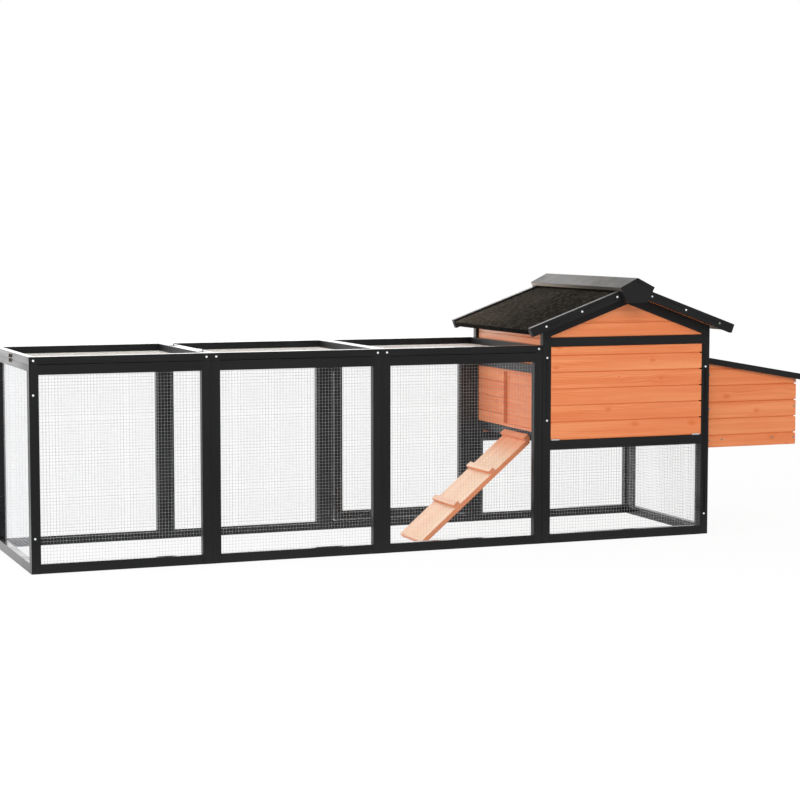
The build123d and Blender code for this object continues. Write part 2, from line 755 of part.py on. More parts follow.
wall_drop = lid_felt_t + lid_board_t + nest_gap
nest_walls = []
for end, (y0, y1) in zip((0, -1), mirrored(nest_inset, nest_inset + nest_wall_t)):
    x0 = house_r + nest_gap
    for z0, z1 in rows(nest_low_z, lid_line(x0, wall_drop), nest_groove_z, nest_pitch):
        top_l = min(z1, lid_line(x0, wall_drop))
        top_r = min(z1, lid_line(nest_end_x, wall_drop))
        outline = [(x0, z0), (nest_end_x, z0), (nest_end_x, top_r), (x0, top_l)]
        if top_r < z1 < lid_line(x0, wall_drop):
            cut = x0 + (lid_line(x0, wall_drop) - z1) / math.tan(lid_slope)
            outline = [(x0, z0), (nest_end_x, z0), (nest_end_x, top_r), (cut, z1), (x0, z1)]
        if top_r <= z0 + groove:
            far = x0 + (lid_line(x0, wall_drop) - z0) / math.tan(lid_slope)
            outline = [(x0, z0), (min(far, nest_end_x) - sliver_cut, z0), (x0, top_l)]
        wall = grooved(profile_xz(outline, y0, y1), Axis.X, Axis.Y, end)
        wall = end_notched(wall, nest_end_x, (y0, y1), (z0, z1), nest_low_z)
        nest_walls.append(drilled(wall, fixed_spots))
save("nest_side_walls", nest_walls)
nest_y = (front + nest_inset + nest_wall_t, back - nest_inset - nest_wall_t)
end_boards = []
for z0, z1 in rows(nest_low_z, lid_line(nest_end_x, wall_drop), nest_groove_z, nest_pitch):
    board = grooved(timber(nest_end_x - nest_wall_t, nest_end_x, *nest_y, z0, z1), Axis.Y, Axis.X, -1)
    end_boards.append(drilled(board, fixed_spots))
save("nest_end_wall", end_boards)
nest_in_x = (house_r + nest_gap, nest_end_x - nest_wall_t)
nest_floor = timber(*nest_in_x, *nest_y, nest_floor_z, nest_floor_z + nest_floor_t)
save("nest_floor", [drilled(nest_floor, fixed_spots)])
divider_z = (nest_floor_z + nest_floor_t, divider_top_z)
divider_x = (house_r + divider_gap, nest_in_x[1])
save("nest_divider", [timber(*divider_x, -divider_t / 2, divider_t / 2, *divider_z)])

# Lid of the nest box
lid_end_x = nest_end_x + lid_overhang
edge_out = nest_inset - lid_edge_w - nest_gap


def lid_plate(x0, x1, top, low, y0, y1):
    """A layer of the lid between two depths below its top."""
    outline = [(x0, lid_line(x0, low)), (x1, lid_line(x1, low)),
               (x1, lid_line(x1, top)), (x0, lid_line(x0, top))]
    return profile_xz(outline, y0, y1)


edge_low = lid_felt_t + lid_edge_h
edge_y = mirrored(edge_out, edge_out + lid_edge_w)
save("nest_lid_felt", [lid_plate(lid_x, lid_end_x, 0, lid_felt_t, edge_y[0][0], edge_y[1][1])])
board_x = (lid_x, lid_end_x - lid_edge_w)
board_low = lid_felt_t + lid_board_t
save("nest_lid_board", [lid_plate(*board_x, lid_felt_t, board_low, edge_y[0][1], edge_y[1][0])])
edging = [lid_plate(lid_x, lid_end_x, lid_felt_t, edge_low, y0, y1) for y0, y1 in edge_y]
end_edge_y = (edge_y[0][1] + joint_gap, edge_y[1][0] - joint_gap)
edging.append(lid_plate(lid_end_x - lid_edge_w, lid_end_x, lid_felt_t, edge_low, *end_edge_y))
save("nest_lid_edging", edging)

# Front door of boards on two ledges
door_x = (inside_x[0] + door_side_gap, inside_x[1] - door_side_gap)
door_z = (front_mid_z + mid_rail_h + door_low_gap, head_z - door_top_gap)
door_boards = []
for z0, z1 in rows(*door_z, board_base_z, board_pitch):
    board = grooved(timber(*door_x, front, front + door_t, z0, z1), Axis.X, Axis.Y, 0)
    heights = (z0, z1) if z1 < door_z[1] - end_notch_h else (z0,)
    door_boards.append(end_notched(board, door_x[1], (front, front + door_t), heights, door_z[0]))
notch_z = front_mid_z + mid_rail_h + 2 * barrel_r
door_hinge_x = (door_x[0] + front_hinge_w / 2, door_x[1] - right_hinge_in - front_hinge_w / 2)
with BuildPart() as notched:
    add(door_boards[0])
    for x in door_hinge_x:
        half = front_hinge_w / 2 + joint_gap
        notch_y = (front - cut_past, front + door_t + cut_past)
        add(timber(x - half, x + half, *notch_y, 0, notch_z), mode=Mode.SUBTRACT)
door_boards[0] = notched.part
save("front_door_boards", door_boards)
ledges = []
ledge_y = (front + door_t, front + door_t + ledge_t)
for x0 in (door_x[0] + ledge_inset, door_x[1] - ledge_inset - ledge_w):
    ledges.append(timber(x0, x0 + ledge_w, *ledge_y, floor_top + ledge_low_gap, door_z[1] - ledge_top_gap))
save("front_door_ledges", ledges)

# Pop door behind the left wall, its runners and its pull rod
pop_x = (inner_l + pop_gap, inner_l + pop_gap + pop_door_t)
pop_door_y = (pop_span[0] - pop_lap, pop_span[1] + pop_lap)
save("pop_door_panel", [timber(*pop_x, *pop_door_y, floor_top + rest_gap, pop_z + pop_h + pop_lap)])
runner_x = (pop_x[1] + loose_gap, pop_x[1] + loose_gap + runner_w)
runner_y = (side_y[0] + runner_end_gap, side_y[1] - runner_end_gap)
cap_z = (band_z + rest_gap, band_z + runner_cap)
top_runner = [(house_x + timber_t, cap_z[0]), (runner_x[0], cap_z[0]), (runner_x[0], band_z - runner_lip),
              (runner_x[1], band_z - runner_lip), (runner_x[1], cap_z[1]), (house_x + timber_t, cap_z[1])]
low_runner = timber(*runner_x, *runner_y, floor_top, floor_top + runner_lip)
runners = [low_runner, profile_xz(top_runner, *runner_y)]
save("pop_door_runners", runners)
with BuildPart() as rod:
    block_y = pop_door_y[1] - rod_block_in
    block_z = (rod_z - rod_block_h / 2, rod_z + rod_block_h / 2)
    knob_y = back + rod_r
    add(timber(pop_x[1], rod_x + 1.5 * rod_r, block_y - rod_block_l, block_y, *block_z))
    rod_y = block_y - rod_block_l / 2
    with BuildSketch(Plane(origin=(rod_x, rod_y, rod_z), x_dir=(1, 0, 0), z_dir=(0, 1, 0))):
        Circle(rod_r)
    extrude(amount=knob_y + knob_l / 2 - rod_y)
    with BuildSketch(Plane(origin=(rod_x, knob_y, rod_z), x_dir=(1, 0, 0), z_dir=(0, 1, 0))):
        Circle(knob_r)
    extrude(amount=knob_l)
    fillet(rod.edges().filter_by(GeomType.CIRCLE).group_by(Axis.Y)[-1], knob_round)
save("pop_door_rod", [rod.part])

# Ramp with its cleats
ramp_end_x = house_x + wall_inset - 2 * barrel_r
ramp_span = (front + ramp_y, front + ramp_y + ramp_w)
ramp_tan = math.tan(ramp_angle)
ramp_low = ramp_top_z - ramp_t / math.cos(ramp_angle)
foot_z = rest_gap
foot_x = ramp_end_x - (ramp_low - foot_z) / ramp_tan
toe = (foot_x - ramp_t * math.sin(ramp_angle), foot_z + ramp_t * math.cos(ramp_angle))
ramp = [(ramp_end_x, ramp_top_z), toe, (foot_x, foot_z), (ramp_end_x, ramp_low)]
save("ramp_board", [profile_xz(ramp, *ramp_span)])


def on_ramp(along, above):
    """A place on the ramp, by the way down from its upper end and the height above its top."""
    return (ramp_end_x - along * math.cos(ramp_angle) - above * math.sin(ramp_angle),
            ramp_top_z - along * math.sin(ramp_angle) + above * math.cos(ramp_angle))


cleats = []
bevel = (cleat_low - cleat_high) / 2
for i in range(cleat_count):
    s = i * cleat_pitch
    outline = [on_ramp(s, 0), on_ramp(s + cleat_low, 0), on_ramp(s + cleat_low - bevel, cleat_h),
               on_ramp(s + bevel, cleat_h)]
    cleats.append(profile_xz(outline, *ramp_span))
save("ramp_cleats", cleats)

# Net door in the back of the third bay, and its turn button
door_l = bay_x(bay_count - 1) + joint_gap + stile_w + back_hinge_gap
door_r = bay_x(bay_count) - joint_gap - stile_w - back_door_gap
back_door_z = (bottom_rail_h + back_door_low_gap, panel_h - back_door_top_gap)
door_y = (back - timber_t, back)
back_stiles = [timber(x, x + stile_w, *door_y, *back_door_z) for x in (door_l, door_r - stile_w)]
rail_x = (door_l + stile_w + joint_gap, door_r - stile_w - joint_gap)
back_rails_z = (back_door_z[0], back_door_z[1] - back_rail_h)
back_rails = [timber(*rail_x, *door_y, z, z + back_rail_h) for z in back_rails_z]
save("back_door_frame", back_stiles + back_rails)
back_net_z = (back_door_z[0] + back_rail_h - net_lap, back_door_z[1] - back_rail_h + net_lap)
save("back_door_mesh", [net_xz(rail_x[0] - net_lap, rail_x[1] + net_lap, door_y[0], *back_net_z)])
with BuildPart() as button:
    with BuildSketch(Plane(origin=button_at, x_dir=(1, 0, 0), z_dir=(0, 1, 0))):
        SlotOverall(button_l, button_w, rotation=90)
    extrude(amount=button_t)
    with BuildSketch(Plane(origin=button_at, x_dir=(1, 0, 0), z_dir=(0, 1, 0)).offset(button_t)):
        Circle(head_r)
    extrude(amount=button_cap)
    with BuildSketch(Plane(origin=button_at, x_dir=(1, 0, 0), z_dir=(0, -1, 0))):
        Circle(shank_r)
    extrude(amount=button_pin_l)
save("back_door_button", [button.part])

# Hinges: outer leaves with their pins stay with the frame, middle leaves go with what moves
fixed_leaves = []


def hinge(width, at, fixed_face, moving_face):
    """Lays both leaves of a hinge and gives back the moving one."""
    fixed_leaves.append(on_face(hinge_leaf(width, False), at, *fixed_face))
    return on_face(hinge_leaf(width, True), at, *moving_face)


door_leaves = []
for x in door_hinge_x:
    at = (x, front - barrel_r, front_mid_z + mid_rail_h + barrel_r)
    door_leaves.append(hinge(front_hinge_w, at, ((0, 1, 0), (0, 0, 1)), ((0, 1, 0), (0, 0, -1))))
save("front_door_leaves", door_leaves)
lid_axis_x = house_r + barrel_r
lid_axis_z = lid_line(lid_axis_x, -barrel_r)
lid_along = (math.cos(lid_slope), 0, -math.sin(lid_slope))
lid_normal = (math.sin(lid_slope), 0, math.cos(lid_slope))
lid_leaves = []
for y in lid_hinge_y:
    at = (lid_axis_x, y, lid_axis_z)
    lid_leaves.append(hinge(wide_hinge_w, at, ((0, 0, 1), (1, 0, 0)), (lid_along, lid_normal)))
save("nest_lid_leaves", lid_leaves)
ramp_axis = (house_x + wall_inset - barrel_r, ramp_top_z + ramp_axis_up)
ramp_leaves = []
for y in (ramp_span[0] + ramp_hinge_inset, ramp_span[1] - ramp_hinge_inset):
    at = (ramp_axis[0], y, ramp_axis[1])
    ramp_leaves.append(hinge(wide_hinge_w, at, ((0, 0, -1), (-1, 0, 0)), ((0, 0, -1), (1, 0, 0))))
save("ramp_leaves", ramp_leaves)
back_axis = (door_l - back_hinge_gap / 2, back + barrel_r)
back_leaves = []
for z in back_hinge_z:
    at = (*back_axis, z)
    back_leaves.append(hinge(wide_hinge_w, at, ((0, -1, 0), (1, 0, 0)), ((0, -1, 0), (-1, 0, 0))))
save("back_door_leaves", back_leaves)
hatch_leaves = []
for y in hatch_hinge_y:
    at = (bay_x(1), y, roof_z + barrel_r)
    hatch_leaves.append(hinge(wide_hinge_w, at, ((1, 0, 0), (0, 0, 1)), ((-1, 0, 0), (0, 0, 1))))
save("hatch_leaves", hatch_leaves)
save("hinge_base_leaves", fixed_leaves)
save("screws", placed_screws(fixed_spots))

# Places that the record's joints use
print("front door axis", front - barrel_r, front_mid_z + mid_rail_h + barrel_r)
print("lid axis", lid_axis_x, lid_axis_z)
print("ramp axis", ramp_axis)
print("back door axis", back_axis, "button", button_at)
print("hatch axis", bay_x(1), roof_z + barrel_r, "hook", run_x, hook_z)
print("run left", run_x, "house left", house_x, "house right", house_r, "lid end", lid_end_x)
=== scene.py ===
# %% [markdown]
# # A wooden chicken coop
# The coop is a long wire run with a raised house and a nest box at its right end.
# Its timbers, boards, doors and hinges are already modelled in CAD, and they arrive here as fixed nodes.
# This lesson gives them their finishes, and adds what is too fine for CAD: the welded net, the screw heads
# and the plates of the latch.

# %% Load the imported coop
import math
import random

import bpy
from mathutils import Matrix, Vector


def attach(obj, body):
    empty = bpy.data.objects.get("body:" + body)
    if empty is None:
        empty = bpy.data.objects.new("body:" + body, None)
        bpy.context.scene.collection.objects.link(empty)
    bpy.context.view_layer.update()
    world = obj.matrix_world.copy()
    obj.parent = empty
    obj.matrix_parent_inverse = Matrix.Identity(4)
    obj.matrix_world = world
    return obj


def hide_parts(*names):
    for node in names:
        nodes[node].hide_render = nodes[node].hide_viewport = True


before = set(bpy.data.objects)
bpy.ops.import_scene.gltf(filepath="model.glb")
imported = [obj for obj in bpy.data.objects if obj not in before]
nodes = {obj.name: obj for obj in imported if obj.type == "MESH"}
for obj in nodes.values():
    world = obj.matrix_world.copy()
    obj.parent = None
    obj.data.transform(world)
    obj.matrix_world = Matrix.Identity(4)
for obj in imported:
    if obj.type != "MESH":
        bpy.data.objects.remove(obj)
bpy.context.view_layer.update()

# %% [markdown]
# ## Camera
# The photograph was taken from the front left, a little above the run's roof, with a long lens.
# A camera can be placed by eye, but here its place, turn and focal length were fitted to the straight
# timbers, so every edge of the model falls on its edge in the picture.

# %% Set up the camera
photo_width = 800
focal_pixels = 2068.73
film_width = 36.0
camera_place = (-3.2221, -8.1477, 1.3293)
camera_tilt = math.radians(90 - 4.839)
camera_turn = math.radians(-21.209)

lens = bpy.data.cameras.new("photo_camera")
lens.sensor_fit = "HORIZONTAL"
lens.sensor_width = film_width
lens.lens = focal_pixels / photo_width * film_width
camera = bpy.data.objects.new("photo_camera", lens)
bpy.context.scene.collection.objects.link(camera)
camera.location = camera_place
camera.rotation_euler = (camera_tilt, 0, camera_turn)
bpy.context.scene.camera = camera
print("lens", round(lens.lens, 2), "mm")

# %% [markdown]
# ## Node helpers
# A material in Blender is a small network of nodes. Building one by hand means adding a node, setting its
# values and drawing lines to its sockets. These helpers do just that, so that the finishes below stay short.


# %% Helpers that add and join nodes
def add(tree, kind, inputs=None, **settings):
    """Adds a node, sets its options, and fills its sockets with values or with lines from other nodes."""
    made = tree.nodes.new("ShaderNode" + kind)
    for name, value in settings.items():
        setattr(made, name, value)
    for name, value in (inputs or {}).items():
        if isinstance(value, bpy.types.NodeSocket):
            tree.links.new(value, made.inputs[name])
        else:
            made.inputs[name].default_value = value
    return made


def calc(tree, operation, a, b=0.0):
    """One sum on two values."""
    return add(tree, "Math", {0: a, 1: b}, operation=operation).outputs[0]


def scaled(tree, value, factor, plus):
    """A value times a factor, plus something."""
    return add(tree, "Math", {0: value, 1: factor, 2: plus}, operation="MULTIPLY_ADD").outputs[0]


def remap(tree, value, low, high, to_low=0.0, to_high=1.0):
    """Eases a value from one range to another."""
    made = add(tree, "MapRange", {"Value": value, "From Min": low, "From Max": high,
                                  "To Min": to_low, "To Max": to_high}, interpolation_type="SMOOTHSTEP")
    return made.outputs["Result"]


def mix_colour(tree, share, a, b):
    """Mixes two colours by a share."""
    return add(tree, "Mix", {0: share, 6: a, 7: b}, data_type="RGBA").outputs[2]


def mix_value(tree, share, a, b):
    """Mixes two values by a share."""
    return add(tree, "Mix", {0: share, 2: a, 3: b}, data_type="FLOAT").outputs[0]


def noise(tree, vector, scale, detail=3.0, rough=0.5):
    """A cloudy noise between 0 and 1."""
    inputs = {"Vector": vector, "Scale": scale, "Detail": detail, "Roughness": rough}
    return add(tree, "TexNoise", inputs).outputs["Fac"]


def stretch(tree, vector, scale):
    """Scales a place differently along each axis."""
    return add(tree, "VectorMath", {0: vector, 1: scale}, operation="MULTIPLY").outputs[0]


def new_group(name, inputs, outputs):
    """Starts a node group with named sockets, and gives back its tree and its input and output nodes."""
    group = bpy.data.node_groups.new(name, "ShaderNodeTree")
    for label, kind, value in inputs:
        socket = group.interface.new_socket(label, in_out="INPUT", socket_type=kind)
        if value is not None:
            socket.default_value = value
    for label in outputs:
        group.interface.new_socket(label, in_out="OUTPUT", socket_type="NodeSocketFloat")
    return group, group.nodes.new("NodeGroupInput"), group.nodes.new("NodeGroupOutput")


def place_group(tree, group, inputs):
    """Places a node group in a material with its own values."""
    return add(tree, "Group", inputs, node_tree=group).outputs


def new_finish(name, **constants):
    """Starts a material, sets what is the same all over, and gives back its tree and its shader."""
    finish = bpy.data.materials.new(name)
    finish.use_nodes = True
    shader = finish.node_tree.nodes["Principled BSDF"]
    for label, value in constants.items():
        shader.inputs[label.replace("_", " ")].default_value = value
    return finish, finish.node_tree, shader


print("helpers ready")

# %% [markdown]
# ## Studio
# A product picture like this is taken on a white sweep, with large soft lamps.
# The floor and the world look white to the camera and in gloss, while the light that falls on the coop stays
# plain. The room behind the camera is dim, so front faces stay deep black. A wide lamp behind the coop gives
# the sheen on everything that is seen at a low angle: the tops, the ramp and the ridge.


# %% White floor
def white_rays(tree):
    """The rays that find a white studio: straight, in gloss and through. Those in gloss come second."""
    path = add(tree, "LightPath").outputs
    seen = calc(tree, "MAXIMUM", path["Is Camera Ray"], path["Is Glossy Ray"])
    return calc(tree, "MAXIMUM", seen, path["Is Transmission Ray"]), path["Is Glossy Ray"]


floor_size = 90.0
floor_level = -0.001
floor_white = 0.93
floor_gloss = 0.52
paper_grey = (0.82, 0.82, 0.82, 1)

bpy.ops.object.select_all(action="DESELECT")
bpy.ops.mesh.primitive_plane_add(size=floor_size, location=(0, 0, floor_level))
floor = bpy.context.object
floor.name = "studio_floor"
floor_finish = bpy.data.materials.new("studio_floor")
floor_finish.use_nodes = True
tree = floor_finish.node_tree
tree.nodes.clear()
seen, glossy = white_rays(tree)
paper = add(tree, "BsdfDiffuse", {"Color": paper_grey})
place = add(tree, "TexCoord").outputs["Object"]
far = add(tree, "VectorMath", {0: place}, operation="LENGTH").outputs["Value"]
depth = add(tree, "SeparateXYZ", {0: place}).outputs["Y"]
dimmed = mix_value(tree, glossy, 1.0, remap(tree, depth, -1.0, 0.3, floor_gloss, 1.0))
glow = add(tree, "Emission", {"Color": (1, 1, 1, 1), "Strength": dimmed})
white_share = calc(tree, "MULTIPLY", seen, remap(tree, far, 2.5, 6.0, floor_white, 1.0))
both = add(tree, "MixShader", {0: white_share, 1: paper.outputs[0], 2: glow.outputs[0]})
add(tree, "OutputMaterial", {"Surface": both.outputs[0]})
floor.data.materials.append(floor_finish)
print("floor", floor_size, "m wide")

# %% White world
world_light = 0.42
front_gloss = 0.4
world = bpy.data.worlds.new("studio_world")
world.use_nodes = True
bpy.context.scene.world = world
tree = world.node_tree
tree.nodes.clear()
seen, glossy = white_rays(tree)
way = add(tree, "SeparateXYZ", {0: add(tree, "TexCoord").outputs["Generated"]}).outputs
depth = calc(tree, "ADD", way["Y"], calc(tree, "MULTIPLY", way["Z"], 0.9))
dimmed = mix_value(tree, glossy, 1.0, remap(tree, depth, -0.95, -0.25, front_gloss, 1.0))
strength = mix_value(tree, seen, world_light, dimmed)
sky = add(tree, "Background", {"Color": (1, 1, 1, 1), "Strength": strength})
add(tree, "OutputWorld", {"Surface": sky.outputs[0]})
print("world light", world_light)


# %% Soft lamps
def soft_lamp(name, place, aim, size, power, shines=True):
    """A large lamp that the camera doesn't see, turned to a point. It shows in gloss if it shines."""
    data = bpy.data.lights.new(name, "AREA")
    data.shape = "RECTANGLE"
    data.size, data.size_y = size
    data.energy = power
    lamp = bpy.data.objects.new(name, data)
    bpy.context.scene.collection.objects.link(lamp)
    lamp.location = place
    lamp.rotation_euler = (Vector(aim) - Vector(place)).to_track_quat("-Z", "Y").to_euler()
    lamp.visible_camera = False
    lamp.visible_glossy = shines
    return lamp


coop_middle = (0.0, 0.0, 0.5)
lamps = [
    soft_lamp("front_lamp", (-1.5, -7.0, 5.5), coop_middle, (6.0, 4.0), 412, shines=False),
    soft_lamp("left_lamp", (-7.5, 0.5, 2.6), coop_middle, (4.0, 4.0), 410),
    soft_lamp("back_lamp", (-1.5, 6.5, 1.9), (-1.5, 0.0, 0.5), (11.0, 3.8), 248),
    soft_lamp("top_lamp", (0.0, 1.0, 6.0), coop_middle, (6.0, 4.0), 120),
]
bpy.context.scene.view_settings.view_transform = "Standard"
print("lamps", [lamp.name for lamp in lamps])

# %% [markdown]
# ## Grain of the boards
# A softwood board shows long pale and dark streaks, fine fibres, and a few knots that the streaks bend
# around. It could be painted as a picture, but a node group works on any board and never repeats.
# Every board of a wall is a row at a fixed pitch, so the group counts rows and gives each one its own tone.

# %% Node group: board grain, its rows and knots
row_shift = 17.37
knot_board = 0.07
knot_flat = 0.6
knot_small = 0.003
knot_spread = 0.006
knot_chance = 0.45
grain, given, out = new_group(
    "board_grain",
    [("Place", "NodeSocketVector", None), ("Row Base", "NodeSocketFloat", 0.0),
     ("Row Height", "NodeSocketFloat", 1.0), ("Knot Spacing", "NodeSocketFloat", 0.3)],
    ["Streaks", "Rings", "Fibres", "Knots", "Tone", "Seam"])
parts = add(grain, "SeparateXYZ", {0: given.outputs["Place"]}).outputs
across = calc(grain, "SUBTRACT", parts["Y"], given.outputs["Row Base"])
row_place = calc(grain, "DIVIDE", across, given.outputs["Row Height"])
row = calc(grain, "FLOOR", row_place)
in_row = calc(grain, "FRACT", row_place)
tone = add(grain, "TexWhiteNoise", {"W": row}, noise_dimensions="1D").outputs["Value"]
grain.links.new(tone, out.inputs["Tone"])

knot_place = calc(grain, "DIVIDE", parts["X"], given.outputs["Knot Spacing"])
knot_place = calc(grain, "ADD", knot_place, calc(grain, "MULTIPLY", row, row_shift))
knot = add(grain, "TexVoronoi", {"W": knot_place, "Scale": 1.0}, voronoi_dimensions="1D")
luck = add(grain, "SeparateColor", {0: knot.outputs["Color"]}).outputs
knot_along = calc(grain, "MULTIPLY", knot.outputs["Distance"], given.outputs["Knot Spacing"])
knot_height = scaled(grain, luck[0], 0.6, 0.2)
knot_up = calc(grain, "MULTIPLY", calc(grain, "SUBTRACT", in_row, knot_height), knot_board)
flat_along = calc(grain, "MULTIPLY", knot_along, knot_flat)
knot_far = calc(grain, "SQRT", calc(grain, "ADD", calc(grain, "MULTIPLY", flat_along, flat_along),
                                    calc(grain, "MULTIPLY", knot_up, knot_up)))
knot_size = scaled(grain, luck[2], knot_spread, knot_small)
ragged = scaled(grain, noise(grain, given.outputs["Place"], 160.0, 2.0), 1.6, 0.3)
knot_reach = calc(grain, "DIVIDE", calc(grain, "MULTIPLY", knot_far, ragged), knot_size)
knot_mask = remap(grain, knot_reach, 0.1, 2.3, 1.0, 0.0)
is_there = calc(grain, "GREATER_THAN", luck[1], knot_chance)
grain.links.new(calc(grain, "MULTIPLY", knot_mask, is_there), out.inputs["Knots"])
print("knot nodes", len(grain.nodes))

# %% Node group: board grain, its streaks, rings, fibres and seams
streak_stretch = (1.3, 30.0, 20.0)
wander_stretch = (2.6, 16.0, 16.0)
shown_stretch = (1.1, 11.0, 11.0)
fibre_stretch = (7.0, 420.0, 300.0)
ring_density = 620.0
ring_wander = 34.0
row_slide = 3.713
seam_inner = 0.001
seam_outer = 0.0075
swell = remap(grain, knot_far, 0.0, 0.035, 1.0, 0.0)
bend = calc(grain, "MULTIPLY", calc(grain, "MULTIPLY", knot_up, swell), is_there)
bent_across = scaled(grain, bend, -0.7, across)
own = scaled(grain, row, row_slide, parts["X"])
flowing = add(grain, "CombineXYZ", {0: own, 1: bent_across, 2: parts["Z"]}).outputs[0]
streaks = noise(grain, stretch(grain, flowing, streak_stretch), 1.0, 5.0, 0.62)
grain.links.new(remap(grain, streaks, 0.33, 0.67), out.inputs["Streaks"])
wander = noise(grain, stretch(grain, flowing, wander_stretch), 1.0, 2.0)
ring_place = scaled(grain, bent_across, ring_density, calc(grain, "MULTIPLY", wander, ring_wander))
waves = scaled(grain, calc(grain, "SINE", ring_place), 0.5, 0.5)
shown = remap(grain, noise(grain, stretch(grain, flowing, shown_stretch), 1.0, 2.0), 0.42, 0.66)
grain.links.new(calc(grain, "MULTIPLY", calc(grain, "POWER", waves, 2.0), shown), out.inputs["Rings"])
fibres = noise(grain, stretch(grain, flowing, fibre_stretch), 1.0, 2.0, 0.6)
grain.links.new(fibres, out.inputs["Fibres"])

# A band along the edge of each row, at the grooves between boards, for gathered stain and painted shade.
edge = calc(grain, "SUBTRACT", 0.5, calc(grain, "ABSOLUTE", calc(grain, "SUBTRACT", in_row, 0.5)))
edge = calc(grain, "MULTIPLY", edge, given.outputs["Row Height"])
grain.links.new(remap(grain, edge, seam_inner, seam_outer, 1.0, 0.0), out.inputs["Seam"])
print("board grain nodes", len(grain.nodes))

# %% [markdown]
# ## Which way the grain runs
# Grain follows the length of a piece: along X for the front and back boards, along Y for those of the side
# walls, and up for posts. Each finish hands the group a place whose first axis is the length of its pieces.


# %% Helpers for the direction of the grain
def object_place(tree):
    """The three coordinates of a point of the piece, in metres."""
    place = add(tree, "TexCoord").outputs["Object"]
    return add(tree, "SeparateXYZ", {0: place}).outputs


def along_axis(tree, axes):
    """A place with the named axes in order: along, across and through the piece."""
    xyz = object_place(tree)
    picked = {i: xyz[name.upper()] for i, name in enumerate(axes)}
    return add(tree, "CombineXYZ", picked).outputs[0]


def along_slope(tree, middle_x, steepness):
    """A place whose first axis runs down both slopes of a roof."""
    xyz = object_place(tree)
    away = calc(tree, "ABSOLUTE", calc(tree, "SUBTRACT", xyz["X"], middle_x))
    rise = scaled(tree, away, steepness, xyz["Z"])
    return add(tree, "CombineXYZ", {0: xyz["X"], 1: rise, 2: xyz["Y"]}).outputs[0]


def along_turned(tree, angle):
    """A place turned about the depth, so that its first axis runs up a ramp."""
    xyz = object_place(tree)
    up = calc(tree, "ADD", calc(tree, "MULTIPLY", xyz["X"], math.cos(angle)),
              calc(tree, "MULTIPLY", xyz["Z"], math.sin(angle)))
    through = calc(tree, "SUBTRACT", calc(tree, "MULTIPLY", xyz["Z"], math.cos(angle)),
                   calc(tree, "MULTIPLY", xyz["X"], math.sin(angle)))
    return add(tree, "CombineXYZ", {0: up, 1: xyz["Y"], 2: through}).outputs[0]


def along_either(tree, inside, outside, axis, limit):
    """One direction where a coordinate is within a limit on both sides of zero, and another beyond it."""
    beyond = calc(tree, "GREATER_THAN", calc(tree, "ABSOLUTE", object_place(tree)[axis]), limit)
    picked = add(tree, "Mix", {0: beyond, 4: along_axis(tree, inside), 5: along_axis(tree, outside)},
                 data_type="VECTOR")
    return picked.outputs[1]


print("grain directions ready")

# %% [markdown]
# ## Stained boards
# The walls are softwood, stained a warm orange. The stain stays thin on hard streaks, sinks into soft ones,
# gathers in the grooves between boards and darkens the knots. A soft band of painted shade darkens the
# grooves too.
# On the ramp a painted highlight pales the treads, while the sides and the upper end, in painted shade, keep
# their orange.

# %% Where the ramp gets its painted highlight
ramp_angle = math.radians(40.2)
ramp_tread = 0.0473
cleat_tread = 0.0638
ramp_top_end = 0.618
# Pale wood colours of the painted highlight on the ramp's tread.
highlight_wood = ((0.66, 0.40, 0.23, 1), (0.75, 0.50, 0.32, 1))


def tread_highlight(tree, tread):
    """How strong the painted highlight is: only on the tread, and less near the upper end of the ramp, in
    painted shade.
    """
    turned = add(tree, "SeparateXYZ", {0: along_turned(tree, ramp_angle)}).outputs
    on_top = remap(tree, turned["Z"], tread - 0.0012, tread - 0.0004)
    # Less painted highlight near the upper end, which is in painted shade.
    out_of_shade = remap(tree, turned["X"], ramp_top_end - 0.03, ramp_top_end - 0.17, 0.25, 1.0)
    return calc(tree, "MULTIPLY", on_top, out_of_shade)


print("treads at", ramp_tread, "and", cleat_tread)

# %% [markdown]
# Above the roof of the run the left wall gets a painted sheen: its colour is paled, most of all
# towards the back and along the streaks, and it is made a little smoother there.

# %% Where the left wall gets its painted sheen
run_roof = 0.831
# Pale colour of the painted sheen on the left wall.
sheen_wood = (0.90, 0.54, 0.38, 1)


def sheen_boards(tree, height, streaks):
    """How strong the painted sheen is: above a height, more towards the back, and along the streaks."""
    xyz = object_place(tree)
    high = remap(tree, xyz["Z"], height - 0.01, height + 0.01)
    behind = remap(tree, xyz["Y"], -0.32, 0.25, 0.1, 0.9)
    striped = mix_value(tree, streaks, 0.45, 1.0)
    return calc(tree, "MULTIPLY", calc(tree, "MULTIPLY", high, behind), striped)


print("sunned above", run_roof)


# %% Finish: orange stained boards
tone_share = 0.35
fibre_share = 0.22
ring_share = 0.45
knot_share = 0.6
seam_share = 0.28
sheen_polish = 0.15


